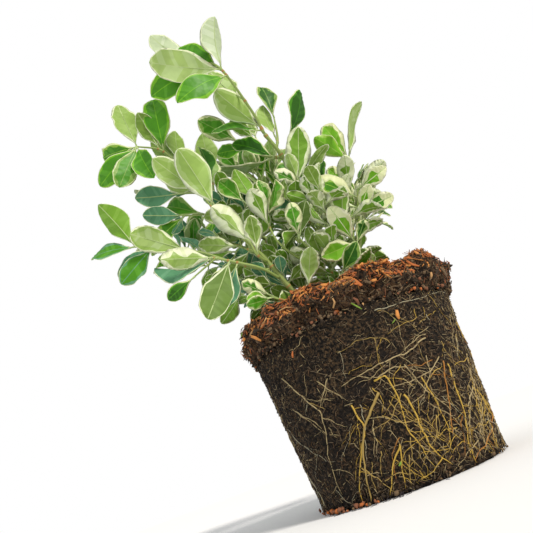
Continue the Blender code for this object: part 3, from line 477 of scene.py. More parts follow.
# The looks of each mass: one for each of its leading leaves, and those that its other leaves take in turn
SPRAY_MOODS = {
    "leaves_top": ("sage silver pale vivid silver vivid vivid pale vivid", "pale"),
    "leaves_leader_left": ("pale dark marbled vivid", "green marbled"),
    "leaves_leader_back": ("dark pale", "green"),
    "leaves_lone": ("dark", "dark"),
    "leaves_upper_left": ("olive vivid pale green vivid green pale pale vivid", "pale"),
    "leaves_middle_left": ("pale green", "pale"),
    "leaves_side_left": ("teal cream pale teal", "teal"),
    "leaves_side_low": ("teal olive green teal", "teal"),
    "leaves_left": ("sage", "sage"),
    "leaves_left_back": ("pale dark", "pale"),
    "leaves_low_left": ("pale plain cool cool teal olive", "green"),
    "leaves_front_left": ("half teal dull teal dark dark", "marbled"),
    "leaves_low_spray": ("fresh green teal half", "green"),
    "leaves_front_low": ("pale", "fresh"),
    "leaves_left_inner": ("marbled cream", "pale"),
    "leaves_inner_left": ("", "green pale teal dark"),
    "leaves_inner_low": ("", "green dark teal marbled"),
    "leaves_inner_foot": ("", "dark green teal"),
    "leaves_centre_left": ("marbled marbled cream green dark", "marbled green dark"),
    "leaves_centre_front": ("half dull cream", "marbled green"),
    "leaves_centre_middle": ("", "bright green dark marbled"),
    "leaves_centre_foot": ("", "green marbled dark"),
    "leaves_centre_top": ("bright sage marbled dark half teal", "marbled green"),
    "leaves_low_behind": ("", "teal dark green"),
    "leaves_low_middle": ("", "dark green teal"),
    "leaves_right": ("ivory fingered fingered fingered cream ivory", "fingered"),
    "leaves_right_middle": ("fingered bright marbled", "cream marbled"),
    "leaves_right_low": ("dark marbled pale", "green dark"),
    "leaves_right_inner": ("", "bright fingered half dark"),
    "leaves_right_upper": ("pale bright fresh fingered", "fresh"),
    "leaves_right_back": ("", "cream bright green"),
    "leaves_low_right": ("", "dark green marbled"),
    "leaves_back_top": ("", "pale green pale sage"),
    "leaves_back_middle": ("", "marbled pale dark green"),
    "leaves_back_left": ("", "pale green teal"),
    "leaves_back_low": ("", "teal green marbled"),
    "leaves_back_right": ("", "marbled cream green"),
    "leaves_back_foot": ("", "dark green teal"),
}

BARK_TONES = {
    "bark_rust": "#b5693a",
    "bark_orange": "#cd8a4a",
    "bark_red_brown": "#83563e",
    "bark_brown": "#6f5b44",
    "bark_dark": "#372d23",
    "bark_fresh": "#bf9564",
    "moss_fleck": "#7c9a3c",
}
TOP_ODDS = (0.34, 0.27, 0.16, 0.13, 0.06, 0.04, 0.0)
AWAY_ODDS = (0.18, 0.06, 0.24, 0.31, 0.16, 0.05, 0.0)
RUSTY_TURN = -72
RUSTY_SPREAD = 95
CREST_DEPTH = (3, 15)
FALLEN_ODDS = (0.12, 0.02, 0.40, 0.32, 0.14, 0.0, 0.0)
# Painted shade: bark at the collar's side and under its rim is mostly dark. The crumbs round the foot draw from these
# odds too.
SIDE_ODDS = (0.04, 0.0, 0.12, 0.32, 0.51, 0.01, 0.0)
FIBRE_TONES = {
    "fibre_brown": "#6a5b48",
    "fibre_tan": "#9c8b68",
    "fibre_dark": "#2b2620",
    "fibre_rust": "#5e4732",
}
FIBRE_ODDS = (0.36, 0.27, 0.20, 0.17)
# Painted shade: fibres on the shaded left front side of the ball take mostly dark tones.
PAINTED_SHADE_FIBRE_ODDS = (0.20, 0.05, 0.62, 0.13)
PAINTED_SHADE_SIDE = math.radians(-125)
ROOT_TONES = {
    "root_gold": "#bd9b3e",
    "root_ochre": "#a08647",
    "root_straw": "#a8956a",
    "root_pale": "#a59d80",
    "root_brown": "#63523a",
    "root_orange": "#a8702c",
    "root_dark": "#3a3438",
}
RIGHT_ROOT_ODDS = (0.30, 0.28, 0.22, 0.08, 0.08, 0.04, 0.0)
LEFT_ROOT_ODDS = (0.03, 0.12, 0.38, 0.26, 0.19, 0.0, 0.02)

# The roots that show plainly on the front of the ball: a radius in millimetres, and a path of turns
# in degrees to the right of the front and heights in millimetres
FrontRoot = namedtuple("FrontRoot", "tone radius path")
FRONT_ROOTS = (
    FrontRoot("root_straw", 0.5, ((34, 78), (22, 73), (8, 72), (-7, 70), (-15, 68))),
    FrontRoot("root_pale", 0.32, ((14, 103), (28, 103), (41, 103), (58, 106), (71, 107))),
    FrontRoot("root_straw", 0.5, ((-48, 89), (-37, 70), (-31, 60), (-34, 46), (-39, 35), (-42, 10))),
    FrontRoot("root_straw", 0.4, ((-20, 76), (-31, 61))),
    FrontRoot("root_straw", 0.35, ((-48, 66), (-37, 55), (-34, 46), (-26, 42))),
    FrontRoot("root_ochre", 0.9, ((1, 57), (-12, 42), (-18, 29), (-22, 15), (-25, 2))),
    FrontRoot("root_gold", 0.6, ((-14, 56), (-12, 42), (-20, 27), (-28, 12), (-30, 3))),
    FrontRoot("root_gold", 0.6, ((1, 64), (7, 65), (9, 51), (7, 32), (9, 24))),
    FrontRoot("root_gold", 0.65, ((12, 51), (14, 38), (14, 20), (18, 11), (22, 6))),
    FrontRoot("root_straw", 0.4, ((38, 65), (30, 58), (17, 56), (4, 58))),
    FrontRoot("root_straw", 0.35, ((31, 68), (30, 58), (22, 47), (12, 44))),
    FrontRoot("root_straw", 0.4, ((18, 67), (24, 48), (33, 34), (27, 22))),
    FrontRoot("root_orange", 0.5, ((40, 62), (36, 46), (32, 33), (28, 20))),
    FrontRoot("root_gold", 0.55, ((43, 60), (41, 34), (36, 12), (36, 2))),
    FrontRoot("root_straw", 0.45, ((65, 63), (58, 40), (52, 20), (45, 13))),
    FrontRoot("root_gold", 0.6, ((60, 40), (66, 30), (76, 20))),
    FrontRoot("root_gold", 0.6, ((1, 26), (-7, 16), (-14, 2))),
    FrontRoot("root_gold", 0.5, ((1, 26), (-3, 14), (-5, 3))),
    FrontRoot("root_ochre", 0.35, ((3, 19), (-2, 3))),
    FrontRoot("root_brown", 0.35, ((-75, 74), (-68, 42), (-59, 12))),
    FrontRoot("root_straw", 0.4, ((3, 65), (13, 68), (22, 62), (31, 56))),
    FrontRoot("root_ochre", 0.4, ((-2, 44), (6, 36), (16, 35), (25, 19))),
    FrontRoot("root_brown", 0.35, ((-27, 84), (-19, 77), (-11, 67))),
    FrontRoot("root_straw", 0.35, ((-50, 68), (-40, 56), (-35, 46))),
    FrontRoot("root_pale", 0.35, ((-68, 59), (-58, 46), (-40, 30))),
    FrontRoot("root_ochre", 0.4, ((24, 34), (20, 24), (8, 14))),
    FrontRoot("root_straw", 0.45, ((63, 46), (46, 34), (40, 20), (36, 8))),
    FrontRoot("root_gold", 0.5, ((62, 34), (69, 21), (78, 8))),
    FrontRoot("root_gold", 0.45, ((24, 57), (27, 40), (28, 26), (24, 12))),
    FrontRoot("root_brown", 0.35, ((50, 72), (46, 52), (45, 34))),
    FrontRoot("root_ochre", 0.4, ((44, 34), (50, 24), (47, 8))),
    FrontRoot("root_ochre", 0.35, ((11, 52), (2, 41), (-10, 38))),
    FrontRoot("root_straw", 0.4, ((52, 44), (58, 28), (48, 17), (50, 4))),
    FrontRoot("root_straw", 0.35, ((22, 42), (31, 32), (38, 19))),
)

Leaf = namedtuple("Leaf", "root along up length bow fold")
Twig = namedtuple("Twig", "spine nodes")


class PlantSizes(bpy.types.PropertyGroup):
    """Sizes of the plant that a user would change."""

    leaf_rows: bpy.props.IntProperty(
        name="Leaf rows", description="Rows of faces along one leaf", default=16, min=4
    )
    fine_twig_gap: bpy.props.FloatProperty(
        name="Fine twig gap", description="Distance between fine twigs along a twig",
        default=14 * MM, subtype="DISTANCE", unit="LENGTH",
    )
    fine_leaf_share: bpy.props.FloatProperty(
        name="Fine leaf share", description="Size of a fine twig's leaf beside its mass's own",
        default=0.92, subtype="FACTOR",
    )
    soil_fibres: bpy.props.IntProperty(
        name="Soil fibres", description="Short fibres on the side of the ball", default=15500
    )
    bark_flakes: bpy.props.IntProperty(
        name="Bark flakes", description="Flakes and splinters of bark in the collar", default=8200
    )
    mulch_crumbs: bpy.props.IntProperty(
        name="Mulch crumbs", description="Crumbs of the collar, the rim and the foot", default=2400
    )
    fine_roots: bpy.props.IntProperty(
        name="Fine roots", description="Thin roots that wander over the ball", default=1500
    )


class PlantColours(bpy.types.PropertyGroup):
    """Colours of the plant that a user would change."""

    soil: bpy.props.StringProperty(
        name="Soil", description="Moist peaty potting mix, as sRGB hex", default="#241e18"
    )
    stem: bpy.props.StringProperty(
        name="Stem", description="Green bark of a young stem, as sRGB hex", default="#8fa356"
    )
    scar: bpy.props.StringProperty(
        name="Leaf scar", description="Corky scar at a node, as sRGB hex", default="#a8834a"
    )
    floor: bpy.props.StringProperty(
        name="Floor", description="Matt white floor, as sRGB hex", default="#fafafa"
    )


def linear(text):
    """The linear colour of an sRGB hex value."""
    parts = [int(text[k : k + 2], 16) / 255 for k in (1, 3, 5)]
    return (*[c / 12.92 if c <= 0.04045 else ((c + 0.055) / 1.055) ** 2.4 for c in parts], 1)


def unit(vector):
    return vector / np.linalg.norm(vector)


def turned(vector, axis, angle):
    """The vector turned by an angle about a unit axis."""
    across = np.cross(axis, vector)
    kept = axis * (axis @ vector)
    return kept + (vector - kept) * math.cos(angle) + across * math.sin(angle)


def smooth_line(places):
    """Points along a smooth curve that passes through every place."""
    ends = np.vstack([2 * places[0] - places[1], places, 2 * places[-1] - places[-2]])
    parts = []
    for a, b, c, d in zip(ends, ends[1:], ends[2:], ends[3:]):
        count = max(2, int(np.linalg.norm(c - b) / SPINE_STEP))
        t = np.linspace(0, 1, count, endpoint=False)[:, None]
        bend = 2 * a - 5 * b + 4 * c - d
        twist = 3 * b - a - 3 * c + d
        parts.append(b + 0.5 * t * ((c - a) + t * (bend + t * twist)))
    return np.vstack(parts + [places[-1:]])


class Spine:
    """The middle line of a limb or twig, with its radius and a frame carried along it."""

    def __init__(self, points, thick, thin):
        self.points = points
        steps = np.linalg.norm(np.diff(points, axis=0), axis=1)
        self.run = np.concatenate([[0], np.cumsum(steps)])
        self.length = self.run[-1]
        self.ways = np.gradient(points, axis=0)
        self.ways /= np.linalg.norm(self.ways, axis=1)[:, None]
        self.thick = thick
        self.thin = thin

    def at(self, run):
        return np.array([np.interp(run, self.run, self.points[:, k]) for k in range(3)])

    def way(self, run):
        return unit(np.array([np.interp(run, self.run, self.ways[:, k]) for k in range(3)]))

    def radius(self, run):
        return self.thick + (self.thin - self.thick) * np.clip(run / self.length, 0, 1)

    def side(self, run):
        """A unit vector square to the line, as near to the front (-Y) as it can be."""
        way = self.way(run)
        front = np.array([0.0, -1.0, 0.15])
        return unit(front - way * (front @ way))

    def ring(self, run, sides):
        way = self.way(run)
        first = self.side(run)
        second = np.cross(way, first)
        turns = np.arange(sides) * 2 * math.pi / sides
        return self.at(run) + self.radius(run) * (
            np.outer(np.cos(turns), first) + np.outer(np.sin(turns), second)
        )

    def distance(self, point):
        """How far a point is from the line, and the radius there."""
        gaps = np.linalg.norm(self.points - point, axis=1)
        nearest = gaps.argmin()
        return gaps[nearest], self.radius(self.run[nearest])

    def cut(self, start, end=None):
        """The stretch from one distance to another."""
        end = self.length if end is None else end
        inner = self.points[(self.run > start) & (self.run < end)]
        points = np.vstack([self.at(start), inner, self.at(end)])
        return Spine(points, self.radius(start), self.radius(end))


def tube(bm, spine, sides, step):
    """A closed tapering tube with flat ends."""
    rows = max(2, int(math.ceil(spine.length / step)) + 1)
    rings = []
    for run in np.linspace(0, spine.length, rows):
        rings.append([bm.verts.new(point) for point in spine.ring(run, sides)])
    for low, high in zip(rings, rings[1:]):
        for k in range(sides):
            bm.faces.new((low[k - 1], low[k], high[k], high[k - 1]))
    bm.faces.new(rings[0][::-1])
    bm.faces.new(rings[-1])


def clear_of(spine, parent, sides):
    """The same line, begun where its end stands just clear of the parent's surface."""
    for run in np.arange(0, spine.length, 0.1 * MM):
        gap = min(
            distance - radius
            for distance, radius in (parent.distance(point) for point in spine.ring(run, sides))
        )
        if gap >= GAP:
            return spine.cut(run)
    raise ValueError("a limb never leaves its parent")


def grow_limbs():
    spines = {}
    for name, limb in LIMBS.items():
        places = np.array(limb.places) * MM
        if limb.parent:
            parent = spines[limb.parent]
            places[0] = parent.at(limb.at * parent.length)
        else:
            places[0, 2] = MULCH_TOP + GAP
        spine = Spine(smooth_line(places), limb.thick * MM, limb.thin * MM)
        if limb.parent:
            spine = clear_of(spine, parent, LIMB_SIDES)
        spines[name] = spine
    return spines


def leaf_points(leaf, extra=0.0):
    """Sections of a leaf from its root to its tip: left, top, right and bottom points."""
    across = np.cross(leaf.along, leaf.up)
    half = leaf.length * LEAF_SLENDERNESS / 2
    blade = leaf.length - PETIOLE_LENGTH
    stations = [(PETIOLE_LENGTH, PETIOLE_HALF_WIDTH, 0.0)]
    stations += [(PETIOLE_LENGTH + blade * share, half * wide, share) for share, wide in LEAF_PROFILE]
    sections = []
    for run, wide, share in stations:
        middle = leaf.root + leaf.along * run + leaf.up * leaf.bow * leaf.length * share * (1 - share)
        lift = leaf.up * leaf.fold * wide * min(1, share * 3)
        thick = LEAF_THICKNESS / 2 + extra
        sections.append((
            middle - across * (wide + extra) + lift,
            middle + leaf.up * thick,
            middle + across * (wide + extra) + lift,
            middle - leaf.up * thick,
        ))
    end = leaf.root + leaf.along * (leaf.length + extra)
    tips = [end - across * half * LEAF_TIP_WIDTH, end + across * half * LEAF_TIP_WIDTH]
    return leaf.root - leaf.along * ROOT_SINK, sections, tips


def leaf_shell(leaf, extra=0.0):
    """The points and faces of a closed leaf."""
    root, sections, tips = leaf_points(leaf, extra)
    points = [root] + [point for section in sections for point in section] + tips
    faces = []
    for k in range(4):
        following = (k + 1) % 4
        faces.append((0, 1 + following, 1 + k))
        for row in range(len(sections) - 1):
            low = 1 + 4 * row
            high = low + 4
            faces.append((low + k, low + following, high + following))
            faces.append((low + k, high + following, high + k))
    left, top, right, bottom, left_tip, right_tip = range(len(points) - 6, len(points))
    faces += [(left, top, left_tip), (top, right_tip, left_tip), (top, right, right_tip)]
    faces += [(right, bottom, right_tip), (bottom, left_tip, right_tip), (bottom, left, left_tip)]
    return points, faces


class Crowd:
    """What has grown so far and whose it is, so that new growth can be kept clear of it."""

    def __init__(self):
        self.owners = []
        self.trees = []
        self.middles = np.empty((0, 3))
        self.reaches = np.empty(0)

    def add(self, owner, points, faces):
        tree, middle, reach = self.measured(points, faces)
        self.owners.append(owner)
        self.trees.append(tree)
        self.middles = np.vstack([self.middles, middle])
        self.reaches = np.append(self.reaches, reach)

    def measured(self, points, faces):
        spread = np.array(points)
        middle = spread.mean(axis=0)
        tree = BVHTree.FromPolygons([tuple(point) for point in points], faces)
        return tree, middle, np.linalg.norm(spread - middle, axis=1).max()

    def touches(self, points, faces, owner=None):
        """Whether the shell crosses anything here that isn't its owner's own."""
        tree, middle, reach = self.measured(points, faces)
        near = np.linalg.norm(self.middles - middle, axis=1) < self.reaches + reach
        return any(
            tree.overlap(self.trees[k]) for k in np.flatnonzero(near) if self.owners[k] != owner
        )


def shell_of(bm):
    """The points and triangles of a bmesh."""
    bmesh.ops.triangulate(bm, faces=bm.faces)
    bm.verts.index_update()
    points = [tuple(vert.co) for vert in bm.verts]
    faces = [tuple(vert.index for vert in face.verts) for face in bm.faces]
    return points, faces


def tube_shell(spine, sides, step):
    bm = bmesh.new()
    tube(bm, spine, sides, step)
    shell = shell_of(bm)
    bm.free()
    return shell


def make_leaf(spine, run, turn, spread, length, rng):
    """A leaf on a twig: turn goes round the twig, spread leans away from it."""
    way = spine.way(run)
    outward = turned(spine.side(run), way, math.radians(turn))
    spread = math.radians(spread)
    along = unit(way * math.cos(spread) + outward * math.sin(spread))
    root = spine.at(run)
    inward = unit((CROWN_MIDDLE - root[:2]) * np.array([SIDEWAYS_SHARE, 1.0]))
    up = way * WAY_PULL + np.append(inward * INWARD_PULL, SKY_PULL)
    up = unit(up - along * (up @ along))
    up = turned(up, along, math.radians(rng.uniform(-ROLL_JITTER, ROLL_JITTER)))
    return Leaf(root, along, up, length, rng.uniform(*LEAF_BOW), rng.uniform(*LEAF_FOLD))


def leading_leaf(spine, lead, aside, rng):
    """A leaf placed by the table, on a bare side shoot or straight on the main twig."""
    heading = math.radians(lead.heading + aside / 2)
    lean = math.radians(lead.lean + aside)
    flat = math.cos(lean)
    along = np.array([math.sin(heading) * flat, -math.sin(lean), math.cos(heading) * flat])
    up = unit(along * (TO_VIEWER @ along) - TO_VIEWER)
    up = turned(up, along, math.radians(lead.roll))
    start = spine.at(min(lead.run * MM, spine.length - TIP_SINK))
    root = start + along * lead.stalk * MM
    leaf = Leaf(root, along, up, lead.length * MM, rng.uniform(*LEAF_BOW), rng.uniform(*LEAF_FOLD))
    if not lead.stalk:
        return leaf, None
    line = smooth_line(np.array([start, root + along * ROOT_SINK]))
    return leaf, Spine(line, *SIDE_TWIG_RADIUS)


def leaf_places(spine, shoot, rng):
    """Pairs of leaves along a twig, each pair square to the last, and a pair at the tip."""
    leaf = shoot.leaf * MM
    gap = (shoot.gap or SIDE_GAP) * MM
    run = shoot.first * MM
    pair = 0
    while run < spine.length - gap * LAST_GAP:
        share = run / spine.length
        spread = SPREAD_AT_FOOT + (SPREAD_AT_TIP - SPREAD_AT_FOOT) * share
        size = leaf * (SIZE_AT_FOOT + (SIZE_AT_TIP - SIZE_AT_FOOT) * share)
        for side in (0, 180):
            turn = shoot.turn + 90 * pair + side + rng.uniform(-TURN_JITTER, TURN_JITTER)
            lean = spread + rng.uniform(-SPREAD_JITTER, SPREAD_JITTER)
            yield run, turn, lean, size * rng.uniform(*SIZE_JITTER)
        run += gap * (GAP_AT_FOOT + (GAP_AT_TIP - GAP_AT_FOOT) * share) * rng.uniform(*GAP_JITTER)
        pair += 1
    for side in (0, 180):
        turn = shoot.turn + 90 * pair + side
        yield spine.length - TIP_SINK, turn, rng.uniform(*TIP_SPREAD), leaf * rng.uniform(*TIP_SIZE)


def side_twigs(spine, count, turn, rng):
    """Short twigs from the leaf axils, each curving back towards the light."""
    first_share, last_share = SIDE_TWIG_STARTS
    for k in range(count):
        run = spine.length * (k + first_share) / (count + last_share)
        way = spine.way(run)
        around = turn + 180 * k + rng.uniform(-SIDE_TWIG_TURN, SIDE_TWIG_TURN)
        outward = turned(spine.side(run), way, math.radians(around))
        reach = spine.length * rng.uniform(*SIDE_TWIG_REACH)
        first = unit(way * FORWARD_AT_FOOT + outward)
        second = unit(way * FORWARD_AT_TIP + outward + np.array([0.0, 0.0, RISE_AT_TIP]))
        start = spine.at(run)
        places = np.array([start, start + first * reach * 0.5, start + (first + second) * reach * 0.5])
        yield Spine(smooth_line(places), *SIDE_TWIG_RADIUS)


def fits(leaf, name, crowd, home):
    """Whether a leaf keeps to its mass's own space and clear of everything else."""
    points, faces = leaf_shell(leaf, LEAF_GAP)
    if home.distance(points[-1])[0] > SPACE_RADIUS:
        return False
    blade = points[BLADE_FROM:]
    blade_faces = [tuple(k - BLADE_FROM for k in face) for face in faces if min(face) >= BLADE_FROM]
    return not crowd.touches(blade, blade_faces) and not crowd.touches(points, faces, name)


def grow_leading_leaves(name, main, crowd):
    """The leaves of a mass that the table places, and the bare side shoots of some."""
    leads = LEADING_LEAVES.get(name, ())
    moods = SPRAY_MOODS[name][0].split()
    twigs = [Twig(main, [lead.run * MM for lead in leads])]
    leaves = []
    for number, (lead, mood) in enumerate(zip(leads, moods, strict=True)):
        for aside in LEADING_TRIES:
            leaf, stalk = leading_leaf(main, lead, aside, np.random.default_rng(number))
            stalk_shell = tube_shell(stalk, SIDE_TWIG_SIDES, LIMB_RING_STEP) if stalk else None
            if stalk and crowd.touches(*stalk_shell, name):
                continue
            if fits(leaf, name, crowd, main):
                if stalk:
                    twigs.append(Twig(stalk, []))
                    crowd.add(name, *stalk_shell)
                leaves.append((leaf, mood))
                crowd.add(name, *leaf_shell(leaf))
                break
    return twigs, leaves


def try_leaf(name, twig, place, crowd, home):
    """The leaf as placed, or turned aside to miss its neighbours, or nothing."""
    run, turn, spread, length, seed = place
    for aside in TRIES:
        leaf = make_leaf(twig, run, turn + aside, spread, length, np.random.default_rng(seed))
        if fits(leaf, name, crowd, home):
            return leaf
    return None


def main_twig(shoot, limb):
    """The stem of a mass: in line with the limb where it grows from the tip, or clear of its side."""
    places = np.array(shoot.places) * MM
    start = limb.at(shoot.at * limb.length)
    if shoot.at < 1:
        return clear_of(Spine(smooth_line(np.vstack([start, places])), *TWIG_RADIUS), limb, TWIG_SIDES)
    way = limb.way(limb.length)
    start = start + way * GAP
    line = smooth_line(np.vstack([start - way * LEAD_IN, start, places]))
    line = line[np.linalg.norm(line - start, axis=1).argmin():]
    line[0] = start
    return Spine(line, min(TWIG_RADIUS[0], limb.thin), TWIG_RADIUS[1])


def grow_main_twigs(spines, crowd):
    """The stem of every mass. They come first, so that no leaf takes their place."""
    mains = {}
    for name, shoot in SHOOTS.items():
        mains[name] = main_twig(shoot, spines[shoot.limb])
        shell = tube_shell(mains[name], TWIG_SIDES, TWIG_RING_STEP)
        if crowd.touches(*shell):
            raise ValueError(name + " runs into its neighbour")
        crowd.add(name, *shell)
    return mains


def grow_rest(name, main, rng, crowd):
    """The side twigs of a mass and the leaves that the rule gives it."""
    shoot = SHOOTS[name]
    moods = SPRAY_MOODS[name][1].split()
    spines = [main] if shoot.gap else []
    for spine in side_twigs(main, shoot.forks, shoot.turn, rng):
        shell = tube_shell(spine, SIDE_TWIG_SIDES, LIMB_RING_STEP)
        if not crowd.touches(*shell, name):
            spines.append(spine)
            crowd.add(name, *shell)
    twigs = []
    leaves = []
    for spine in spines:
        places = list(leaf_places(spine, shoot, rng))
        twigs.append(Twig(spine, [place[0] for place in places]))
        for place in places:
            leaf = try_leaf(name, spine, (*place, int(rng.integers(1e6))), crowd, main)
            if leaf:
                leaves.append((leaf, moods[len(leaves) % len(moods)]))
                crowd.add(name, *leaf_shell(leaf))
    return twigs, leaves


def grow_masses(spines, crowd):
    """Every mass as its twigs and leaves: main twigs first, then leading leaves, then all the rest."""
    mains = grow_main_twigs(spines, crowd)
    masses = {name: grow_leading_leaves(name, main, crowd) for name, main in mains.items()}
    for number, (name, main) in enumerate(mains.items()):
        twigs, leaves = grow_rest(name, main, np.random.default_rng(FIRST_SEED + number), crowd)
        masses[name] = (masses[name][0] + twigs, masses[name][1] + leaves)
    return mains, masses


FINE_TWIG_LENGTH = (9 * MM, 17 * MM)
FINE_TWIG_RADIUS = (0.5 * MM, 0.35 * MM)
FINE_TRIES = (0, 40, -40, 80, -80, 130)
FINE_SEED = 5000


def grow_fine_twigs(name, main, twigs, sizes, rng, crowd):
    """Short thin twigs with small leaves, in what room the mass has left."""
    shoot = SHOOTS[name]
    small = shoot._replace(leaf=shoot.leaf * sizes.fine_leaf_share, first=6, gap=8)
    moods = SPRAY_MOODS[name][1].split()
    grown = []
    leaves = []
    for twig in twigs:
        run = 5 * MM
        turn = shoot.turn + 45
        while run < twig.spine.length:
            spine = fine_twig(twig.spine, run, turn, rng)
            shell = tube_shell(spine, SIDE_TWIG_SIDES, LIMB_RING_STEP)
            if not crowd.touches(*shell, name):
                kept = [
                    (leaf, moods[number % len(moods)])
                    for number, place in enumerate(list(leaf_places(spine, small, rng)))
                    if (leaf := try_fine_leaf(name, spine, place, rng, crowd, main))
                ]
                if kept:
                    crowd.add(name, *shell)
                    grown.append(Twig(spine, []))
                    leaves += kept
            run += sizes.fine_twig_gap * rng.uniform(0.8, 1.2)
            turn += 137
    return grown, leaves


def fine_twig(spine, run, turn, rng):
    way = spine.way(run)
    outward = turned(spine.side(run), way, math.radians(turn))
    reach = rng.uniform(*FINE_TWIG_LENGTH)
    start = spine.at(run)
    middle = start + unit(way * 0.6 + outward) * reach * 0.5
    tip = middle + unit(way + outward * 0.7 + np.array([0.0, 0.0, 0.4])) * reach * 0.5
    return Spine(smooth_line(np.array([start, middle, tip])), *FINE_TWIG_RADIUS)


def try_fine_leaf(name, spine, place, rng, crowd, home):
    run, turn, spread, length = place
    seed = int(rng.integers(1e6))
    for aside in FINE_TRIES:
        leaf = make_leaf(spine, run, turn + aside, spread, length, np.random.default_rng(seed))
        points, faces = leaf_shell(leaf, 0)
        if home.distance(points[-1])[0] > SPACE_RADIUS or not inside_reach(points):
            continue
        blade_faces = [tuple(k - BLADE_FROM for k in face) for face in faces if min(face) >= BLADE_FROM]
        if crowd.touches(points[BLADE_FROM:], blade_faces) or crowd.touches(points, faces, name):
            continue
        crowd.add(name, points, faces)
        return leaf
    return None


def inside_reach(points):
    """Whether the points lie in the box of the solids."""
    low, high = np.array(cad_box[0]), np.array(cad_box[1])
    points = np.array(points)
    return bool((points > low).all() and (points < high).all())


class Joined:
    """Many small closed shapes gathered into one mesh, with a material for each face."""

    def __init__(self):
        self.points = []
        self.faces = []
        self.marks = []
        self.count = 0

    def add(self, points, faces, marks):
        """One shape, with its faces turned to point outwards."""
        corners = points[faces]
        if np.linalg.det(corners - points.mean(axis=0)).sum() < 0:
            faces = faces[:, ::-1]
        self.points.append(points)
        self.faces.append(faces + self.count)
        self.marks.append(np.broadcast_to(marks, len(faces)))
        self.count += len(points)

    def make(self, name, materials):
        """The mesh object of all the shapes."""
        mesh = bpy.data.meshes.new(name)
        points = np.concatenate(self.points).astype(np.float32)
        faces = np.concatenate(self.faces).astype(np.int32)
        mesh.vertices.add(len(points))
        mesh.vertices.foreach_set("co", points.ravel())
        mesh.loops.add(faces.size)
        mesh.loops.foreach_set("vertex_index", faces.ravel())
        mesh.polygons.add(len(faces))
        mesh.polygons.foreach_set("loop_start", np.arange(0, faces.size, 3, dtype=np.int32))
        for material in materials:
            mesh.materials.append(material)
        mesh.polygons.foreach_set("material_index", np.concatenate(self.marks).astype(np.int32))
        mesh.update(calc_edges=True)
        mesh.shade_smooth()
        return placed(name, mesh)


def placed(name, mesh):
    """A piece with its mesh in the frame's place, riding on the plant."""
    obj = bpy.data.objects.new(name, mesh)
    bpy.context.scene.collection.objects.link(obj)
    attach(obj, BODY)
    return obj


def tube_faces(rows, sides):
    """Triangles of a tube of rings with a point at each end, numbered after its rings."""
    k = np.arange(sides)
    following = (k + 1) % sides
    faces = []
    for row in range(rows - 1):
        low = row * sides
        faces.append(np.stack([low + k, low + following, low + sides + following], axis=1))
        faces.append(np.stack([low + k, low + sides + following, low + sides + k], axis=1))
    first, last = rows * sides, rows * sides + 1
    faces.append(np.stack([np.full(sides, first), following, k], axis=1))
    top = (rows - 1) * sides
    faces.append(np.stack([np.full(sides, last), top + k, top + following], axis=1))
    return np.concatenate(faces)


def tube_points(path, up, wide, thick, sides):
    """Rings round a path, flattened to wide and thick, and its two end points."""
    ways = np.gradient(path, axis=0)
    ways /= np.linalg.norm(ways, axis=1)[:, None] + 1e-12
    across = np.cross(ways, up)
    across /= np.linalg.norm(across, axis=1)[:, None] + 1e-12
    lift = np.cross(across, ways)
    turns = np.arange(sides) * 2 * math.pi / sides + math.pi / sides
    wide = np.broadcast_to(wide, len(path))[:, None, None]
    thick = np.broadcast_to(thick, len(path))[:, None, None]
    rings = (
        path[:, None]
        + across[:, None] * wide * np.cos(turns)[:, None]
        + lift[:, None] * thick * np.sin(turns)[:, None]
    )
    return np.concatenate([rings.reshape(-1, 3), path[:1], path[-1:]])


BLADE_COLUMNS = 8
RIB_HALF_WIDTH = 0.28 * MM
BLADE_THICKNESS = 0.42 * MM
OUTLINE_POWER = 1.25
FOOT_WIDTH = 0.52
FOOT_REACH = 0.4
VEIN_SLANT = 0.2
VEIN_RELIEF = 0.34 * MM
VEINS = 9
WAVES = 5
WAVE_HEIGHT = 0.19
RAGGEDNESS = 0.035
HEART_END_SOFTNESS = 0.15
TIP_POINT = (0.48, 0.74)


def blade_outline(share, point):
    """Half the width of a blade at a share of its length: a narrow foot, a broad end, rounded or pointed."""
    round_shape = np.clip(1 - (2 * share**OUTLINE_POWER - 1) ** 2, 0, 1) ** point
    return round_shape * (FOOT_WIDTH + (1 - FOOT_WIDTH) * np.clip(share / FOOT_REACH, 0, 1))


def blade_faces(rows):
    """Triangles of a blade, with the zone and the row of each: two grids that share their edges, and its ends."""
    columns = BLADE_COLUMNS
    top = np.arange(rows * columns).reshape(rows, columns)
    under = np.arange(rows * (columns - 2)).reshape(rows, columns - 2) + rows * columns
    under = np.column_stack([top[:, 0], under, top[:, -1]])
    tip = rows * columns + rows * (columns - 2)
    row = np.arange(rows)
    faces, zones, courses = [], [], []
    for grid, below in ((top, 0), (under, columns - 1)):
        for c in range(columns - 1):
            a, b = grid[:-1, c], grid[:-1, c + 1]
            d, e = grid[1:, c], grid[1:, c + 1]
            end = np.array([[grid[-1, c], grid[-1, c + 1], tip]])
            strip = np.concatenate([np.stack([a, b, e], axis=1), np.stack([a, e, d], axis=1), end])
            faces.append(strip[:, ::-1] if below else strip)
            zones.append(np.full(len(strip), c + below))
            courses.append(np.concatenate([row[:-1], row]))
    foot = [[top[0, c], under[0, c], under[0, c + 1]] for c in range(columns - 1)]
    foot += [[top[0, c], under[0, c + 1], top[0, c + 1]] for c in range(columns - 1)]
    foot = [face for face in foot if len(set(face)) == 3]
    faces.append(np.array(foot))
    zones.append(np.full(len(foot), 3))
    courses.append(np.zeros(len(foot), int))
    return np.concatenate(faces), np.concatenate(zones), np.concatenate(courses)


def along_sides(share, stops, amount, rng):
    """Smooth random values along a blade, one run for the columns of each of its two sides."""
    places = np.linspace(0, 1, stops)
    sides = [np.interp(share, places, rng.normal(0, amount, stops)) for _ in range(2)]
    return np.repeat(np.column_stack(sides), BLADE_COLUMNS // 2, axis=1)


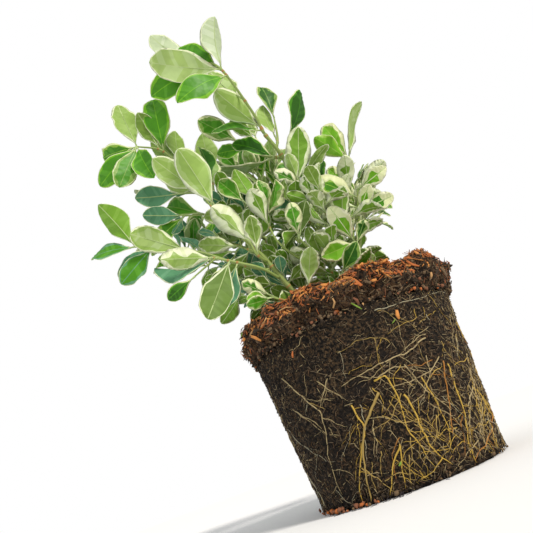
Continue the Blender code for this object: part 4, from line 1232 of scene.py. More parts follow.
def uneven(share, low, high, rng):
    """An uneven line along a blade, that steps in and out from vein to vein."""
    values = low + (high - low) * rng.uniform(0, 1, VEINS) ** 1.5
    line = np.interp(share, np.linspace(0, 1, VEINS), values)
    return line * rng.uniform(0.78, 1.22, len(share))


def zones_of_side(share, width, mood, rng):
    """Where the heart and the marbled middle end on one side of the rib, as shares of the width."""
    reach = np.sin(math.pi * np.clip(share * 0.92 + 0.05, 0, 1)) ** 0.3
    margin = uneven(share, *mood.margin, rng) * MM
    middle = np.clip(1 - margin / width, 0.14, 0.97) * (0.6 + 0.4 * reach)
    heart = middle * (1 - uneven(share, *(1 - np.array(mood.heart_share[::-1])), rng)) * reach
    heart = heart * np.clip((mood.heart_end - share) / HEART_END_SOFTNESS, 0, 1)
    return np.clip(heart, 0.05, middle - 0.03), middle


def blade_points(leaf, rows, mood, rng):
    """Points of the two faces of a blade, with the colour boundaries along its columns."""
    across = np.cross(leaf.along, leaf.up)
    half = leaf.length * LEAF_SLENDERNESS / 2
    blade = leaf.length - PETIOLE_LENGTH
    share = 1 - (1 - np.arange(rows) / rows) ** 1.4
    point = rng.uniform(*TIP_POINT)
    width = np.maximum(half * blade_outline(share, point), PETIOLE_HALF_WIDTH)
    left_heart, left_middle = zones_of_side(share, width, mood, rng)
    right_heart, right_middle = zones_of_side(share, width, mood, rng)
    rib = np.minimum(RIB_HALF_WIDTH / width, 0.5 * np.minimum(left_heart, right_heart))
    ones = np.ones(rows)
    v = np.column_stack([-ones, -left_middle, -left_heart, -rib, rib, right_heart, right_middle, ones])
    s = share[:, None] + VEIN_SLANT * np.abs(v) * np.sin(math.pi * share)[:, None] * (1 - np.abs(v) * 0.4)
    s = np.minimum(s, 1)
    ragged = 1 + along_sides(share, VEINS, RAGGEDNESS, rng)
    half_width = np.maximum(half * blade_outline(s, point) * ragged, PETIOLE_HALF_WIDTH)
    wave = along_sides(share, WAVES, WAVE_HEIGHT, rng)
    cup = rng.uniform(-0.3, 0.4)
    twist = rng.uniform(-0.25, 0.25)
    curl = rng.uniform(-0.03, 0.04)
    lift = leaf.fold * np.abs(v) * np.minimum(1, share * 3)[:, None]
    lift = lift + cup * v**2 + wave * v**2 + twist * v * share[:, None]
    ridges = np.where(np.arange(rows) % 2, 1, -1) * rng.uniform(0.2, 2.0, rows)
    relief = VEIN_RELIEF * ridges[:, None] * 4 * np.abs(v) * (1 - np.abs(v))
    rise = leaf.bow * leaf.length * s * (1 - s) - curl * leaf.length * s**4
    middle = leaf.root + leaf.along * (PETIOLE_LENGTH + blade * s)[..., None]
    surface = middle + across * (v * half_width)[..., None]
    surface = surface + leaf.up * (lift * half_width + relief + rise)[..., None]
    thick = BLADE_THICKNESS / 2 * (1 - np.abs(v)) ** 0.5
    top = surface + leaf.up * thick[..., None]
    under = (surface - leaf.up * thick[..., None])[:, 1:-1]
    end = leaf.root + leaf.along * leaf.length - leaf.up * curl * leaf.length
    return np.concatenate([top.reshape(-1, 3), under.reshape(-1, 3), end[None]])


def blade_tones(mood, rows, rng):
    """The material of each zone of a blade in each row: its tone, or here and there the tone's mottle."""
    kinds = (mood.hearts, mood.middles, mood.edges, mood.unders, mood.veils)
    heart, middle, edge, below, veil = (str(rng.choice(tones.split())) for tones in kinds)
    top = (edge, middle, heart, middle, heart, middle, edge)
    under = ("under_edge", veil, below, "rib_pale", below, veil, "under_edge")
    names = list(TONES)
    own = np.array([names.index(tone) for tone in top + under])
    sides = np.array([0, 0, 0, 0, 1, 1, 1])
    mottled = rng.uniform(0, 1, (4, rows)) < MOTTLED_SHARE
    return own[:, None] + mottled[np.concatenate([sides, sides + 2])] * len(TONES)


PETIOLE_ROWS = 7
PETIOLE_SIDES = 5
RIB_REACH = 0.75


def petiole(leaf):
    """The stalk of a leaf, which runs on under the blade as its rib."""
    run = np.concatenate([[-ROOT_SINK], np.linspace(0.3, 1, PETIOLE_ROWS - 1) ** 1.3 * leaf.length * RIB_REACH])
    share = np.clip((run - PETIOLE_LENGTH) / (leaf.length - PETIOLE_LENGTH), 0, 1)
    under = np.where(share > 0, 0.25 * MM, 0)
    path = leaf.root + leaf.along * run[:, None]
    path = path + leaf.up * (leaf.bow * leaf.length * share * (1 - share) - under)[:, None]
    radius = np.interp(run / leaf.length, (0, 0.1, 0.3, RIB_REACH), (0.85, 0.62, 0.36, 0.14)) * MM
    return tube_points(path, leaf.up, radius, radius, PETIOLE_SIDES)


def leaves_piece(name, leaves, rows, materials, rng):
    """All the leaves of one mass as one mesh."""
    joined = Joined()
    faces, zones, courses = blade_faces(rows)
    stalk_faces = tube_faces(PETIOLE_ROWS, PETIOLE_SIDES)
    stalk_mark = list(TONES).index("rib_pale")
    for leaf, mood in leaves:
        tones = blade_tones(MOODS[mood], rows, rng)
        joined.add(blade_points(leaf, rows, MOODS[mood], rng), faces, tones[zones, courses])
        joined.add(petiole(leaf), stalk_faces, stalk_mark)
    return joined.make(name, materials)


TWIG_TUBE_SIDES = 8
TWIG_FINE_STEP = 1.6 * MM
NODE_SWELL = 0.35
NODE_HALF_LENGTH = 1.3 * MM


def twigs_piece(name, twigs, materials):
    """All the twigs of one mass as one mesh, swollen and scarred where their leaves stand."""
    joined = Joined()
    for twig in twigs:
        spine = twig.spine
        rows = max(3, int(spine.length / TWIG_FINE_STEP))
        run = np.linspace(0, spine.length, rows)
        path = np.array([spine.at(r) for r in run])
        up = np.array([spine.side(r) for r in run])
        nodes = np.array(twig.nodes + [-1.0])
        near = np.exp(-((np.abs(run[:, None] - nodes) / NODE_HALF_LENGTH) ** 2)).max(axis=1)
        radius = spine.radius(run) * (1 + NODE_SWELL * near)
        points = tube_points(path, up, radius, radius, TWIG_TUBE_SIDES)
        faces = tube_faces(rows, TWIG_TUBE_SIDES)
        row_of_face = np.repeat(np.arange(rows - 1), 2 * TWIG_TUBE_SIDES)
        marks = np.zeros(len(faces), int)
        marks[: len(row_of_face)] = near[row_of_face] > 0.75
        joined.add(points, faces, marks)
    return joined.make(name, materials)


LIMB_TUBE_SIDES = 16
LIMB_FINE_STEP = 1.2 * MM
STEM_NODE_GAP = 19 * MM
STEM_ANGLE_DEPTH = 0.07
STEM_BARK_DEPTH = 0.16 * MM
CORKY_BELOW = 46 * MM


def limb_piece(name, spine, materials):
    """A stem or bough: four low ridges, swollen nodes with scars, and cracked bark near its foot."""
    run = np.arange(0, spine.length, LIMB_FINE_STEP)
    run = np.append(run, spine.length)
    bm = bmesh.new()
    ring = bmesh.ops.create_circle(bm, segments=LIMB_TUBE_SIDES, radius=1)["verts"]
    edges = list(bm.edges)
    scars = []
    for row, place in enumerate(run):
        if row:
            made = bmesh.ops.extrude_edge_only(bm, edges=edges)["geom"]
            ring = [item for item in made if isinstance(item, bmesh.types.BMVert)]
            edges = [item for item in made if isinstance(item, bmesh.types.BMEdge)
                     and item.verts[0] in ring and item.verts[1] in ring]
            faces = [item for item in made if isinstance(item, bmesh.types.BMFace)]
            bmesh.ops.transform(bm, matrix=ring_matrix(spine, run[row - 1]).inverted(), verts=ring)
            if node_nearness(place, spine) > 0.7:
                scars += faces
        bmesh.ops.transform(bm, matrix=ring_matrix(spine, place), verts=ring)
    shape_bark(bm, spine)
    for end in ((0, 1), (-1, -1)):
        boundary = [edge for edge in bm.edges if edge.is_boundary]
        if boundary:
            bmesh.ops.holes_fill(bm, edges=boundary)
    for face in scars:
        face.material_index = 1
    bmesh.ops.recalc_face_normals(bm, faces=bm.faces)
    mesh = bpy.data.meshes.new(name)
    bm.to_mesh(mesh)
    bm.free()
    for material in materials:
        mesh.materials.append(material)
    mesh.shade_smooth()
    return placed(name, mesh)


def node_nearness(run, spine):
    """1 at a node of a stem, falling to 0 between nodes."""
    from_node = abs((run + STEM_NODE_GAP / 2) % STEM_NODE_GAP - STEM_NODE_GAP / 2)
    return math.exp(-((from_node / NODE_HALF_LENGTH) ** 2)) if run > STEM_NODE_GAP / 2 else 0


def ring_matrix(spine, run):
    """Places a unit circle as the ring of a limb."""
    way = Vector(spine.way(run))
    first = Vector(spine.side(run))
    second = way.cross(first)
    radius = spine.radius(run) * (1 + 0.25 * node_nearness(run, spine))
    turn = Matrix((first * radius, second * radius, way * radius)).transposed().to_4x4()
    return Matrix.Translation(Vector(spine.at(run))) @ turn


def shape_bark(bm, spine):
    """Moves the skin of a limb in and out: ridges all along it, cracks near its foot."""
    for vert in bm.verts:
        point = np.array(vert.co)
        nearest = np.linalg.norm(spine.points - point, axis=1).argmin()
        outward = Vector(point - spine.points[nearest])
        outward = outward - Vector(spine.ways[nearest]) * outward.dot(Vector(spine.ways[nearest]))
        outward.normalize()
        angle = math.atan2(outward.y, outward.x)
        ridge = STEM_ANGLE_DEPTH * spine.thick * math.cos(4 * angle)
        corky = max(0.15, 1 - spine.run[nearest] / CORKY_BELOW)
        streak = Vector((vert.co.x * 2.2, vert.co.y * 2.2, vert.co.z * 0.5)) / (1.1 * MM)
        vert.co += outward * (ridge + STEM_BARK_DEPTH * corky * noise.noise(streak))


# Root ball. Its relief repeats the solid's lumps and adds crumbs to them.
BALL_FOOT_RADIUS = 64 * MM
BALL_TOP_RADIUS = 75 * MM
BALL_HEIGHT = 110 * MM
BALL_EDGE = 3 * MM
SOIL_RELIEF = ((24 * MM, 1.1 * MM), (7 * MM, 0.8 * MM), (2.4 * MM, 0.7 * MM))
BALL_SIDES = 240
BALL_COURSES = 76
UNDERSIDE_ROWS = 26
WORN_FOOT_HEIGHT = 9 * MM
WORN_FOOT_DEPTH = 3 * MM


def ball_radius(height):
    return BALL_FOOT_RADIUS + (BALL_TOP_RADIUS - BALL_FOOT_RADIUS) * np.clip(height / BALL_HEIGHT, 0, 1)


def relief(point, scales):
    return sum(noise.noise(point / size) * depth for size, depth in scales)


def turned_body(profile, sides):
    """A closed body turned round the Z axis from a profile that starts and ends on it."""
    bm = bmesh.new()
    verts = [bm.verts.new((radius, 0, height)) for radius, height in profile]
    edges = [bm.edges.new(pair) for pair in zip(verts, verts[1:])]
    bmesh.ops.spin(
        bm, geom=verts + edges, cent=(0, 0, 0), axis=(0, 0, 1),
        angle=2 * math.pi, steps=sides, use_merge=True,
    )
    bmesh.ops.remove_doubles(bm, verts=bm.verts, dist=0.01 * MM)
    return bm


def finished(name, bm, materials):
    bmesh.ops.recalc_face_normals(bm, faces=bm.faces)
    mesh = bpy.data.meshes.new(name)
    bm.to_mesh(mesh)
    bm.free()
    for material in materials:
        mesh.materials.append(material)
    mesh.shade_smooth()
    return placed(name, mesh)


def on_ball(turn, height, proud=0.0):
    """A point on the crumbly side of the ball, and the way out of it there."""
    outward = Vector((math.cos(turn), math.sin(turn), 0))
    base = outward * float(ball_radius(height)) + Vector((0, 0, height))
    return base + outward * (relief(base, SOIL_RELIEF) + proud), outward


def soil_body(materials):
    heights = np.linspace(BALL_EDGE, BALL_HEIGHT - BALL_EDGE, BALL_COURSES)
    profile = [(radius, 0) for radius in np.linspace(0, BALL_FOOT_RADIUS - BALL_EDGE, UNDERSIDE_ROWS)]
    profile += [(float(ball_radius(h)), h) for h in heights]
    profile += [(BALL_TOP_RADIUS - BALL_EDGE, BALL_HEIGHT), (0, BALL_HEIGHT)]
    bm = turned_body(profile, BALL_SIDES)
    for vert in bm.verts:
        radius = math.hypot(vert.co.x, vert.co.y)
        if vert.co.z < BALL_EDGE * 0.5 and radius > MM:
            vert.co.z += max(0, relief(vert.co, ((5 * MM, 1.0 * MM), (2 * MM, 0.6 * MM))))
        elif vert.co.z < BALL_HEIGHT - BALL_EDGE * 0.5 and radius > MM:
            outward = Vector((vert.co.x, vert.co.y, 0)).normalized()
            worn = max(0, 1 - vert.co.z / WORN_FOOT_HEIGHT) * WORN_FOOT_DEPTH
            wear = worn * abs(noise.noise(vert.co / (9 * MM))) * 2
            vert.co += outward * (relief(vert.co, SOIL_RELIEF) - wear)
    return finished("potting_mix", bm, materials)


def wander(rng, turn, height, heading, length, kink=0.38, step=2.2 * MM):
    """A path over the side of the ball, as turns and heights, with a kink at each step."""
    places = [(turn, height)]
    for _ in range(int(length / step)):
        heading += rng.normal(0, 0.08)
        way = heading + rng.normal(0, kink)
        turn += math.sin(way) * step / float(ball_radius(height))
        height -= math.cos(way) * step
        if not 2.5 * MM < height < BALL_HEIGHT:
            break
        places.append((turn, height))
    return places


def kinked(path, rng, step=2.4 * MM):
    """A path through places on the front of the ball, with small kinks between them."""
    corners = [(math.radians(turn - 90), height * MM) for turn, height in path]
    places = [corners[0]]
    for (turn0, height0), (turn1, height1) in zip(corners, corners[1:]):
        across = (turn1 - turn0) * BALL_TOP_RADIUS
        count = max(1, int(math.hypot(across, height1 - height0) / step))
        for k in range(1, count + 1):
            drift = rng.normal(0, 0.45 * MM, 2) * (k < count)
            turn = turn0 + (turn1 - turn0) * k / count + drift[0] / BALL_TOP_RADIUS
            places.append((turn, height0 + (height1 - height0) * k / count + drift[1]))
    return places


def root_points(places, radius, sides, sunk=0.25):
    """A root along turns and heights, half sunk in the soil and tapering."""
    path = []
    ups = []
    for turn, height in places:
        point, outward = on_ball(turn, height)
        path.append(point + outward * radius * sunk)
        ups.append(outward)
    path = np.array(path)
    inner = (path[:-2] + 4 * path[1:-1] + path[2:]) / 6
    path = np.concatenate([path[:1], inner, path[-1:]])
    path[:, 2] = np.maximum(path[:, 2], radius)
    taper = np.linspace(1, 0.45, len(path)) * radius
    taper[-1] *= 0.4
    return tube_points(path, np.array(ups), taper, taper, sides)


def rootiness(turn, height):
    """How many roots show at a place: most low down at the rooty side, few under the collar."""
    near_side = (0.5 + 0.5 * math.cos(turn - ROOTY_SIDE)) ** 3
    low = np.clip(1.1 - height / BALL_HEIGHT, 0.05, 1)
    return (0.12 + 0.88 * near_side) * low


def root_tone(turn, rng):
    """Gold and ochre at the rooty side, greyer away from it."""
    near_side = math.cos(turn - ROOTY_SIDE) > rng.uniform(-0.1, 0.7)
    return rng.choice(len(ROOT_TONES), p=RIGHT_ROOT_ODDS if near_side else LEFT_ROOT_ODDS)


THICK_ROOT_SIDES = 7
FINE_ROOT_SIDES = 5
THICK_ROOTS = 48
FORKING_RADIUS = 0.33 * MM
TRAILING_ROOTS = 16
TRAILING_TURN = math.radians(-105)
ROOTY_SIDE = math.radians(-42)
FRONT = math.radians(-90)
FRONT_ROOTS_REACH = math.radians(62)


def thick_roots(materials):
    """The roots that run down the ball and fork: those of the front by name, the rest by chance."""
    rng = np.random.default_rng(21)
    joined = Joined()

    def add(places, radius, sides, mark):
        if len(places) > 3:
            joined.add(root_points(places, radius, sides), tube_faces(len(places), sides), mark)

    paths = []
    for root in FRONT_ROOTS:
        mark = list(ROOT_TONES).index(root.tone)
        paths.append((kinked(root.path, rng), root.radius * MM, mark))
    for k in range(THICK_ROOTS):
        turn = 2 * math.pi * (k + rng.uniform(0, 1)) / THICK_ROOTS
        height = rng.uniform(0.25, 0.8) * BALL_HEIGHT
        radius = rng.uniform(0.3, 0.7) * MM
        places = wander(rng, turn, height, rng.normal(0, 0.35), rng.uniform(20, 70) * MM, 0.25)
        if math.cos(turn - FRONT) < math.cos(FRONT_ROOTS_REACH):
            paths.append((places, radius, root_tone(turn, rng)))
    for places, radius, mark in paths:
        add(places, radius, THICK_ROOT_SIDES, mark)
        for _ in range(rng.integers(1, 5) if radius > FORKING_RADIUS else 0):
            fork = places[rng.integers(1, max(2, len(places) - 1))]
            way = rng.choice((-1, 1)) * rng.uniform(0.5, 1.2)
            size = max(radius * rng.uniform(0.35, 0.6), 0.15 * MM)
            add(wander(rng, *fork, way, rng.uniform(8, 30) * MM), size, FINE_ROOT_SIDES, mark)
    return joined.make("thick_roots", materials)


def fine_roots(count, materials):
    """Thin kinked roots that wander down over the ball."""
    rng = np.random.default_rng(22)
    joined = Joined()
    for k in range(count):
        turn = rng.uniform(0, 2 * math.pi)
        height = BALL_HEIGHT * rng.uniform(0.03, 0.98)
        radius = rng.uniform(0.13, 0.36) * MM
        places = wander(rng, turn, height, rng.normal(0, 0.8), rng.uniform(7, 40) * MM)
        if len(places) > 3 and rng.uniform() < rootiness(turn, height):
            faces = tube_faces(len(places), FINE_ROOT_SIDES)
            joined.add(root_points(places, radius, FINE_ROOT_SIDES), faces, root_tone(turn, rng))
    trailing = list(ROOT_TONES).index("root_dark")
    for _ in range(TRAILING_ROOTS):
        turn = rng.normal(TRAILING_TURN, 0.3)
        foot, outward = on_ball(turn, 2 * MM)
        heading = turn + rng.normal(0, 0.5)
        path = [np.array(foot)]
        for _ in range(rng.integers(4, 8)):
            heading += rng.normal(0, 0.35)
            step = np.array([math.cos(heading), math.sin(heading), 0]) * 1.4 * MM
            path.append(path[-1] + step)
            path[-1][2] = max(path[-2][2] - 0.9 * MM, 0.2 * MM)
        path = np.array(path)
        radius = np.linspace(0.2, 0.1, len(path)) * MM
        points = tube_points(path, np.array([0, 0, 1]), radius, radius, FINE_ROOT_SIDES)
        joined.add(points, tube_faces(len(path), FINE_ROOT_SIDES), trailing)
    return joined.make("fine_roots", materials)


FIBRE_ROWS = 2
FIBRE_SIDES = 3


def soil_fibres(count, materials):
    """Short bits of peat and root that cover the ball and the side of its collar, mostly dark on the ball's left front
    side as painted shade.
    """
    rng = np.random.default_rng(23)
    collar = Collar()
    joined = Joined()
    faces = tube_faces(FIBRE_ROWS, FIBRE_SIDES)
    for _ in range(count):
        turn = rng.uniform(0, 2 * math.pi)
        height = rng.uniform(1 * MM, MULCH_RIM - 7 * MM)
        heading = rng.normal(0, 0.9)
        length = rng.uniform(1.2, 4.5) * MM
        if height < BALL_HEIGHT:
            point, outward = on_ball(turn, height, rng.uniform(-0.1, 0.4) * MM)
        else:
            point, outward = collar.side_spot(turn, height)
        if point is None:
            continue
        tangent = np.array([-math.sin(turn), math.cos(turn), 0]) * math.cos(heading)
        tangent = tangent + np.array([0, 0, 1]) * math.sin(heading) + rng.normal(0, 0.12, 3)
        path = np.array(point) + np.array([-0.5, 0.5])[:, None] * length * tangent
        path[:, 2] = np.maximum(path[:, 2], 0.4 * MM)
        radius = rng.uniform(0.12, 0.36) * MM * np.array([1, rng.uniform(0.4, 0.9)])
        up = np.broadcast_to(np.array(outward), (FIBRE_ROWS, 3))
        # Painted shade: towards the shaded left front side most fibres are dark.
        dark = math.cos(turn - PAINTED_SHADE_SIDE) > rng.uniform(-0.1, 1.0)
        mark = rng.choice(len(FIBRE_TONES), p=PAINTED_SHADE_FIBRE_ODDS if dark else FIBRE_ODDS)
        joined.add(tube_points(path, up, radius, radius, FIBRE_SIDES), faces, mark)
    return joined.make("soil_fibres", materials)


MULCH_CRUMBS = ((18 * MM, 7 * MM), (8 * MM, 4 * MM), (3.5 * MM, 1.8 * MM), (1.5 * MM, 0.7 * MM))
MULCH_CUTS = 5


def lump(co, size, depth):
    return noise.noise(Vector(co) / size) * depth


def nearness(outward, middle, spread):
    """One where outward has the turn `middle`, in degrees, falling to nothing `spread` degrees away."""
    off = (math.degrees(math.atan2(outward.y, outward.x)) - middle + 180) % 360 - 180
    return 0.5 + 0.5 * math.cos(math.pi * min(1, abs(off) / spread))


def plain_collar():
    """The collar of bark as the solid has it, higher at its two sides, level where the stems stand."""
    foot = BALL_HEIGHT + GAP
    middle = (foot + MULCH_RIM) / 2
    profile = [
        (0, foot),
        (MULCH_RADIUS - MULCH_EDGE, foot),
        (MULCH_RADIUS, middle),
        (MULCH_RADIUS - MULCH_EDGE, MULCH_RIM - MULCH_EDGE),
        (MULCH_RADIUS - 2 * MULCH_EDGE, MULCH_RIM),
        ((MULCH_RADIUS + MULCH_FLAT_RADIUS) / 2, (MULCH_RIM + MULCH_TOP) / 2),
        (MULCH_FLAT_RADIUS, MULCH_TOP),
        (0, MULCH_TOP),
    ]
    bm = turned_body(profile, MULCH_SIDES)
    for vert in bm.verts:
        radius = math.hypot(vert.co.x, vert.co.y)
        if radius < MULCH_FLAT_RADIUS + MM:
            continue
        outward = Vector((vert.co.x, vert.co.y, 0)).normalized()
        outside = (radius - MULCH_FLAT_RADIUS) / (MULCH_RADIUS - MULCH_FLAT_RADIUS)
        vert.co -= outward * MULCH_WORN * nearness(outward, MULCH_WORN_TURN, MULCH_WORN_SPREAD) * outside
        if vert.co.z > foot + MM:
            share = (vert.co.z - foot) / (MULCH_RIM - foot)
            vert.co.z -= MULCH_DIP * nearness(outward, MULCH_DIP_TURN, MULCH_DIP_SPREAD) * outside * share
            rise = MULCH_RISE_RIGHT if outward.x > 0 else MULCH_RISE_LEFT
            vert.co.z += rise * outward.x**2 * outside * share
            vert.co.z += lump(vert.co, MULCH_LUMP_SIZE, MULCH_LUMP)
            vert.co += outward * lump(vert.co * MULCH_SIDE_NOISE, MULCH_LUMP_SIZE, MULCH_LUMP)
    return bm


def crumbly_collar():
    """The solid's own skin, cut finer and roughened, least of all where the stems stand."""
    bm = plain_collar()
    bmesh.ops.recalc_face_normals(bm, faces=bm.faces)
    bmesh.ops.subdivide_edges(bm, edges=bm.edges, cuts=MULCH_CUTS, use_grid_fill=True)
    bm.normal_update()
    ways = [vert.normal.copy() for vert in bm.verts]
    for vert, way in zip(bm.verts, ways):
        if way.z > -0.5:
            outside = np.clip(math.hypot(vert.co.x, vert.co.y) / MULCH_FLAT_RADIUS - 0.7, 0.2, 1)
            vert.co += way * relief(vert.co, MULCH_CRUMBS) * outside
    return bm


class Collar:
    """Finds spots on the skin of the collar: at random, from above or from outside, or at a given place."""

    def __init__(self):
        bm = crumbly_collar()
        self.skin = BVHTree.FromBMesh(bm)
        bm.free()

    def side_spot(self, turn, height):
        outward = Vector((math.cos(turn), math.sin(turn), 0))
        place, way, _, _ = self.skin.ray_cast(outward * 2 * MULCH_RADIUS + Vector((0, 0, height)), -outward)
        return place, way

    def top_spot(self, turn, radius):
        outward = Vector((math.cos(turn), math.sin(turn), 0))
        place, way, _, _ = self.skin.ray_cast(outward * radius + Vector((0, 0, 1)), Vector((0, 0, -1)))
        return place, way

    def spot(self, rng):
        turn = rng.uniform(0, 2 * math.pi)
        if rng.uniform() < SIDE_SHARE:
            return self.side_spot(turn, rng.uniform(BALL_HEIGHT + 0.8 * MM, MULCH_RIM + MULCH_RISE_RIGHT))
        return self.top_spot(turn, MULCH_RADIUS * math.sqrt(rng.uniform(0.02, 1.05)))


# Chips and flecks that show plainly at the front: a tone, a turn in degrees right of the front, a height,
# a length and a width in millimetres
Chip = namedtuple("Chip", "tone turn height length width")
CHIPS = (
    Chip("bark_orange", 24, 96, 5.5, 3.2),
    Chip("bark_rust", -32, 98, 4.2, 2.0),
    Chip("bark_orange", -47, 119, 7, 3.6),
    Chip("bark_fresh", -40, 125, 7, 2.0),
    Chip("bark_fresh", -2, 116, 6, 2.4),
    Chip("bark_red_brown", 8, 113, 7, 2.6),
    Chip("moss_fleck", 7, 109, 6, 1.3),
    Chip("moss_fleck", -60, 128, 3, 2.0),
    Chip("moss_fleck", 21, 93, 3, 1.0),
    Chip("moss_fleck", -3, 16, 2.6, 2.0),
)
FLAKE_ROWS = 3
FLAKE_SIDES = 4
SPLINTER_SHARE = 0.52
SIDE_SHARE = 0.42
GIANT_SHARE = 0.05
WORN_OFF = 0.75
CHIP_PROUD = 1.6 * MM
CHIP_THICKNESS = 0.8 * MM
CRUMB_SIZE = (0.5 * MM, 1.9 * MM)
FALLEN_TURN = math.radians(-137)


def flake_size(on_top, rng):
    """Length, width and thickness of a piece of bark: a splinter, a flake, or now and then a slab."""
    if rng.uniform() < SPLINTER_SHARE:
        wide = rng.uniform(0.16, 0.42) * MM
        return rng.uniform(2.5, 9.0) * MM, wide, wide * 0.8
    length = rng.uniform(1.5, 5.5) * MM
    if rng.uniform() < GIANT_SHARE:
        length = rng.uniform(6, 11) * MM
    elif not on_top:
        length *= 0.75
    wide = min(length * rng.uniform(0.14, 0.36), 1.9 * MM)
    return length, wide, rng.uniform(0.15, 0.55) * MM


def bark_odds(point, on_top, rng):
    """How likely each tone of bark is: rusty on the crest at the front, browner elsewhere on top, dark at the side and
    under the rim as painted shade under the crest.
    """
    if not on_top:
        return SIDE_ODDS
    crest = math.hypot(point[0], point[1]) > MULCH_FLAT_RADIUS
    rusty = crest and rng.uniform() < nearness(Vector(point), RUSTY_TURN, RUSTY_SPREAD) * 1.6
    return TOP_ODDS if rusty else AWAY_ODDS


def bark_flakes(count, materials):
    """Torn flakes and splinters of bark, lying over each other: rusty on top, dark at the side as painted shade under
    the crest.
    """
    rng = np.random.default_rng(31)
    joined = Joined()
    faces = tube_faces(FLAKE_ROWS, FLAKE_SIDES)
    collar = Collar()
    for _ in range(count):
        point, way = collar.spot(rng)
        if point is None:
            continue
        worn = nearness(point, MULCH_WORN_TURN, MULCH_WORN_SPREAD)
        on_top = way.z > 0.5 or point.z > MULCH_RIM - rng.uniform(*CREST_DEPTH) * MM
        if not on_top and rng.uniform() < worn * WORN_OFF:
            continue
        way = np.array(way)
        any_way = unit(rng.normal(0, 1, 3))
        tangent = unit(any_way - way * (any_way @ way) * rng.uniform(0.45, 1.0))
        length, wide, thick = flake_size(on_top, rng)
        t = np.linspace(-0.5, 0.5, FLAKE_ROWS)[:, None]
        bend = rng.uniform(-0.25, 0.25) * length * (0.25 - t**2)
        side = np.cross(tangent, way)
        path = np.array(point) + way * rng.uniform(-0.3, 1.3) * MM + t * length * tangent + bend * side
        path = path + rng.normal(0, 0.05, (FLAKE_ROWS, 3)) * length * np.array([1, 1, 0.6])
        path[:, 2] = np.maximum(path[:, 2], BALL_HEIGHT - 2 * MM)
        shape = rng.uniform(0.6, 1.1, FLAKE_ROWS) * np.array([0.8, 1, 0.7])
        ups = np.broadcast_to(unit(way + rng.normal(0, 0.5, 3)), (FLAKE_ROWS, 3))
        mark = rng.choice(len(BARK_TONES), p=bark_odds(point, on_top, rng))
        joined.add(tube_points(path, ups, wide * shape, thick * shape, FLAKE_SIDES), faces, mark)
    for chip in CHIPS:
        turn = math.radians(chip.turn - 90)
        if chip.height * MM > BALL_HEIGHT:
            point, way = collar.side_spot(turn, chip.height * MM)
        else:
            point, way = on_ball(turn, chip.height * MM)
        way = np.array(way)
        tangent = unit(np.cross(way, rng.normal(0, 1, 3)))
        t = np.linspace(-0.5, 0.5, FLAKE_ROWS)[:, None]
        path = np.array(point) + way * CHIP_PROUD + t * chip.length * MM * tangent
        shape = rng.uniform(0.7, 1.1, FLAKE_ROWS) * np.array([0.5, 1, 0.75])
        path = path + rng.normal(0, 0.07, (FLAKE_ROWS, 3)) * chip.length * MM
        ups = np.broadcast_to(unit(way + rng.normal(0, 0.3, 3)), (FLAKE_ROWS, 3))
        points = tube_points(path, ups, chip.width / 2 * MM * shape, CHIP_THICKNESS / 2, FLAKE_SIDES)
        joined.add(points, faces, list(BARK_TONES).index(chip.tone))
    return joined.make("bark_flakes", materials)


def mulch_crumbs(count, materials):
    """Angular crumbs of rotted bark: over the collar, under its rim, round the foot, some of them fallen off. Those
    under the rim are dark, as painted shade.
    """
    rng = np.random.default_rng(32)
    bm = bmesh.new()
    bmesh.ops.create_icosphere(bm, subdivisions=1, radius=1)
    points, faces = (np.array(part) for part in shell_of(bm))
    bm.free()
    joined = Joined()
    collar = Collar()
    for k in range(count):
        size = CRUMB_SIZE[0] + (CRUMB_SIZE[1] - CRUMB_SIZE[0]) * rng.uniform() ** 2
        turn = rng.uniform(0, 2 * math.pi)
        kind = k % 40
        if kind < 26:
            point, way = collar.spot(rng)
        elif kind < 37:
            # Under the rim: dark tones, painted shade.
            height = BALL_HEIGHT - rng.uniform(-0.5, 2.5) * MM
            point, way = on_ball(turn, height, rng.uniform(-1, 3) * MM)
        else:
            off = abs(rng.normal(0, 2.2)) * MM
            point, way = on_ball(turn, rng.uniform(0.3, 3.5) * MM, rng.uniform(-1, 0.6) * MM)
            if kind == 39:
                turn = rng.normal(FALLEN_TURN, 0.35)
                size *= 1.25
                point, way = on_ball(turn, size * 0.7, off)
        if point is None:
            continue
        shape = points * rng.uniform(0.6, 1.2, (len(points), 1)) * rng.uniform(0.6, 1.0, 3) * size
        place = np.array(point + way * size * 0.3)
        place[2] = max(place[2], 1.15 * size)
        odds = FALLEN_ODDS if kind == 39 else bark_odds(place, way.z > 0.5, rng)
        mark = rng.choice(len(BARK_TONES), p=odds)
        joined.add(place + shape, faces, mark)
    return joined.make("mulch_crumbs", materials)


def node(tree, kind, settings=None, **links):
    """Adds a node with its settings, sets its inputs by name, and links those given as sockets."""
    made = tree.nodes.new(kind)
    for key, value in (settings or {}).items():
        setattr(made, key, value)
    for key, value in links.items():
        socket = made.inputs[key.replace("_", " ")]
        if isinstance(value, bpy.types.NodeSocket):
            tree.links.new(value, socket)
        else:
            socket.default_value = value
    return made


def surface(name, colour, roughness, specular=0.5):
    """A material with its one colour on the shader itself, and its tree for more nodes."""
    made = bpy.data.materials.new(name)
    made.use_nodes = True
    tree = made.node_tree
    shader = tree.nodes["Principled BSDF"]
    shader.inputs["Base Color"].default_value = linear(colour)
    shader.inputs["Roughness"].default_value = roughness
    shader.inputs["Specular IOR Level"].default_value = specular
    return made, tree, shader


def bump(tree, shader, height, strength, distance):
    made = node(tree, "ShaderNodeBump", Strength=strength, Distance=distance, Height=height)
    tree.links.new(made.outputs["Normal"], shader.inputs["Normal"])


def place_of(tree):
    return node(tree, "ShaderNodeTexCoord").outputs["Object"]


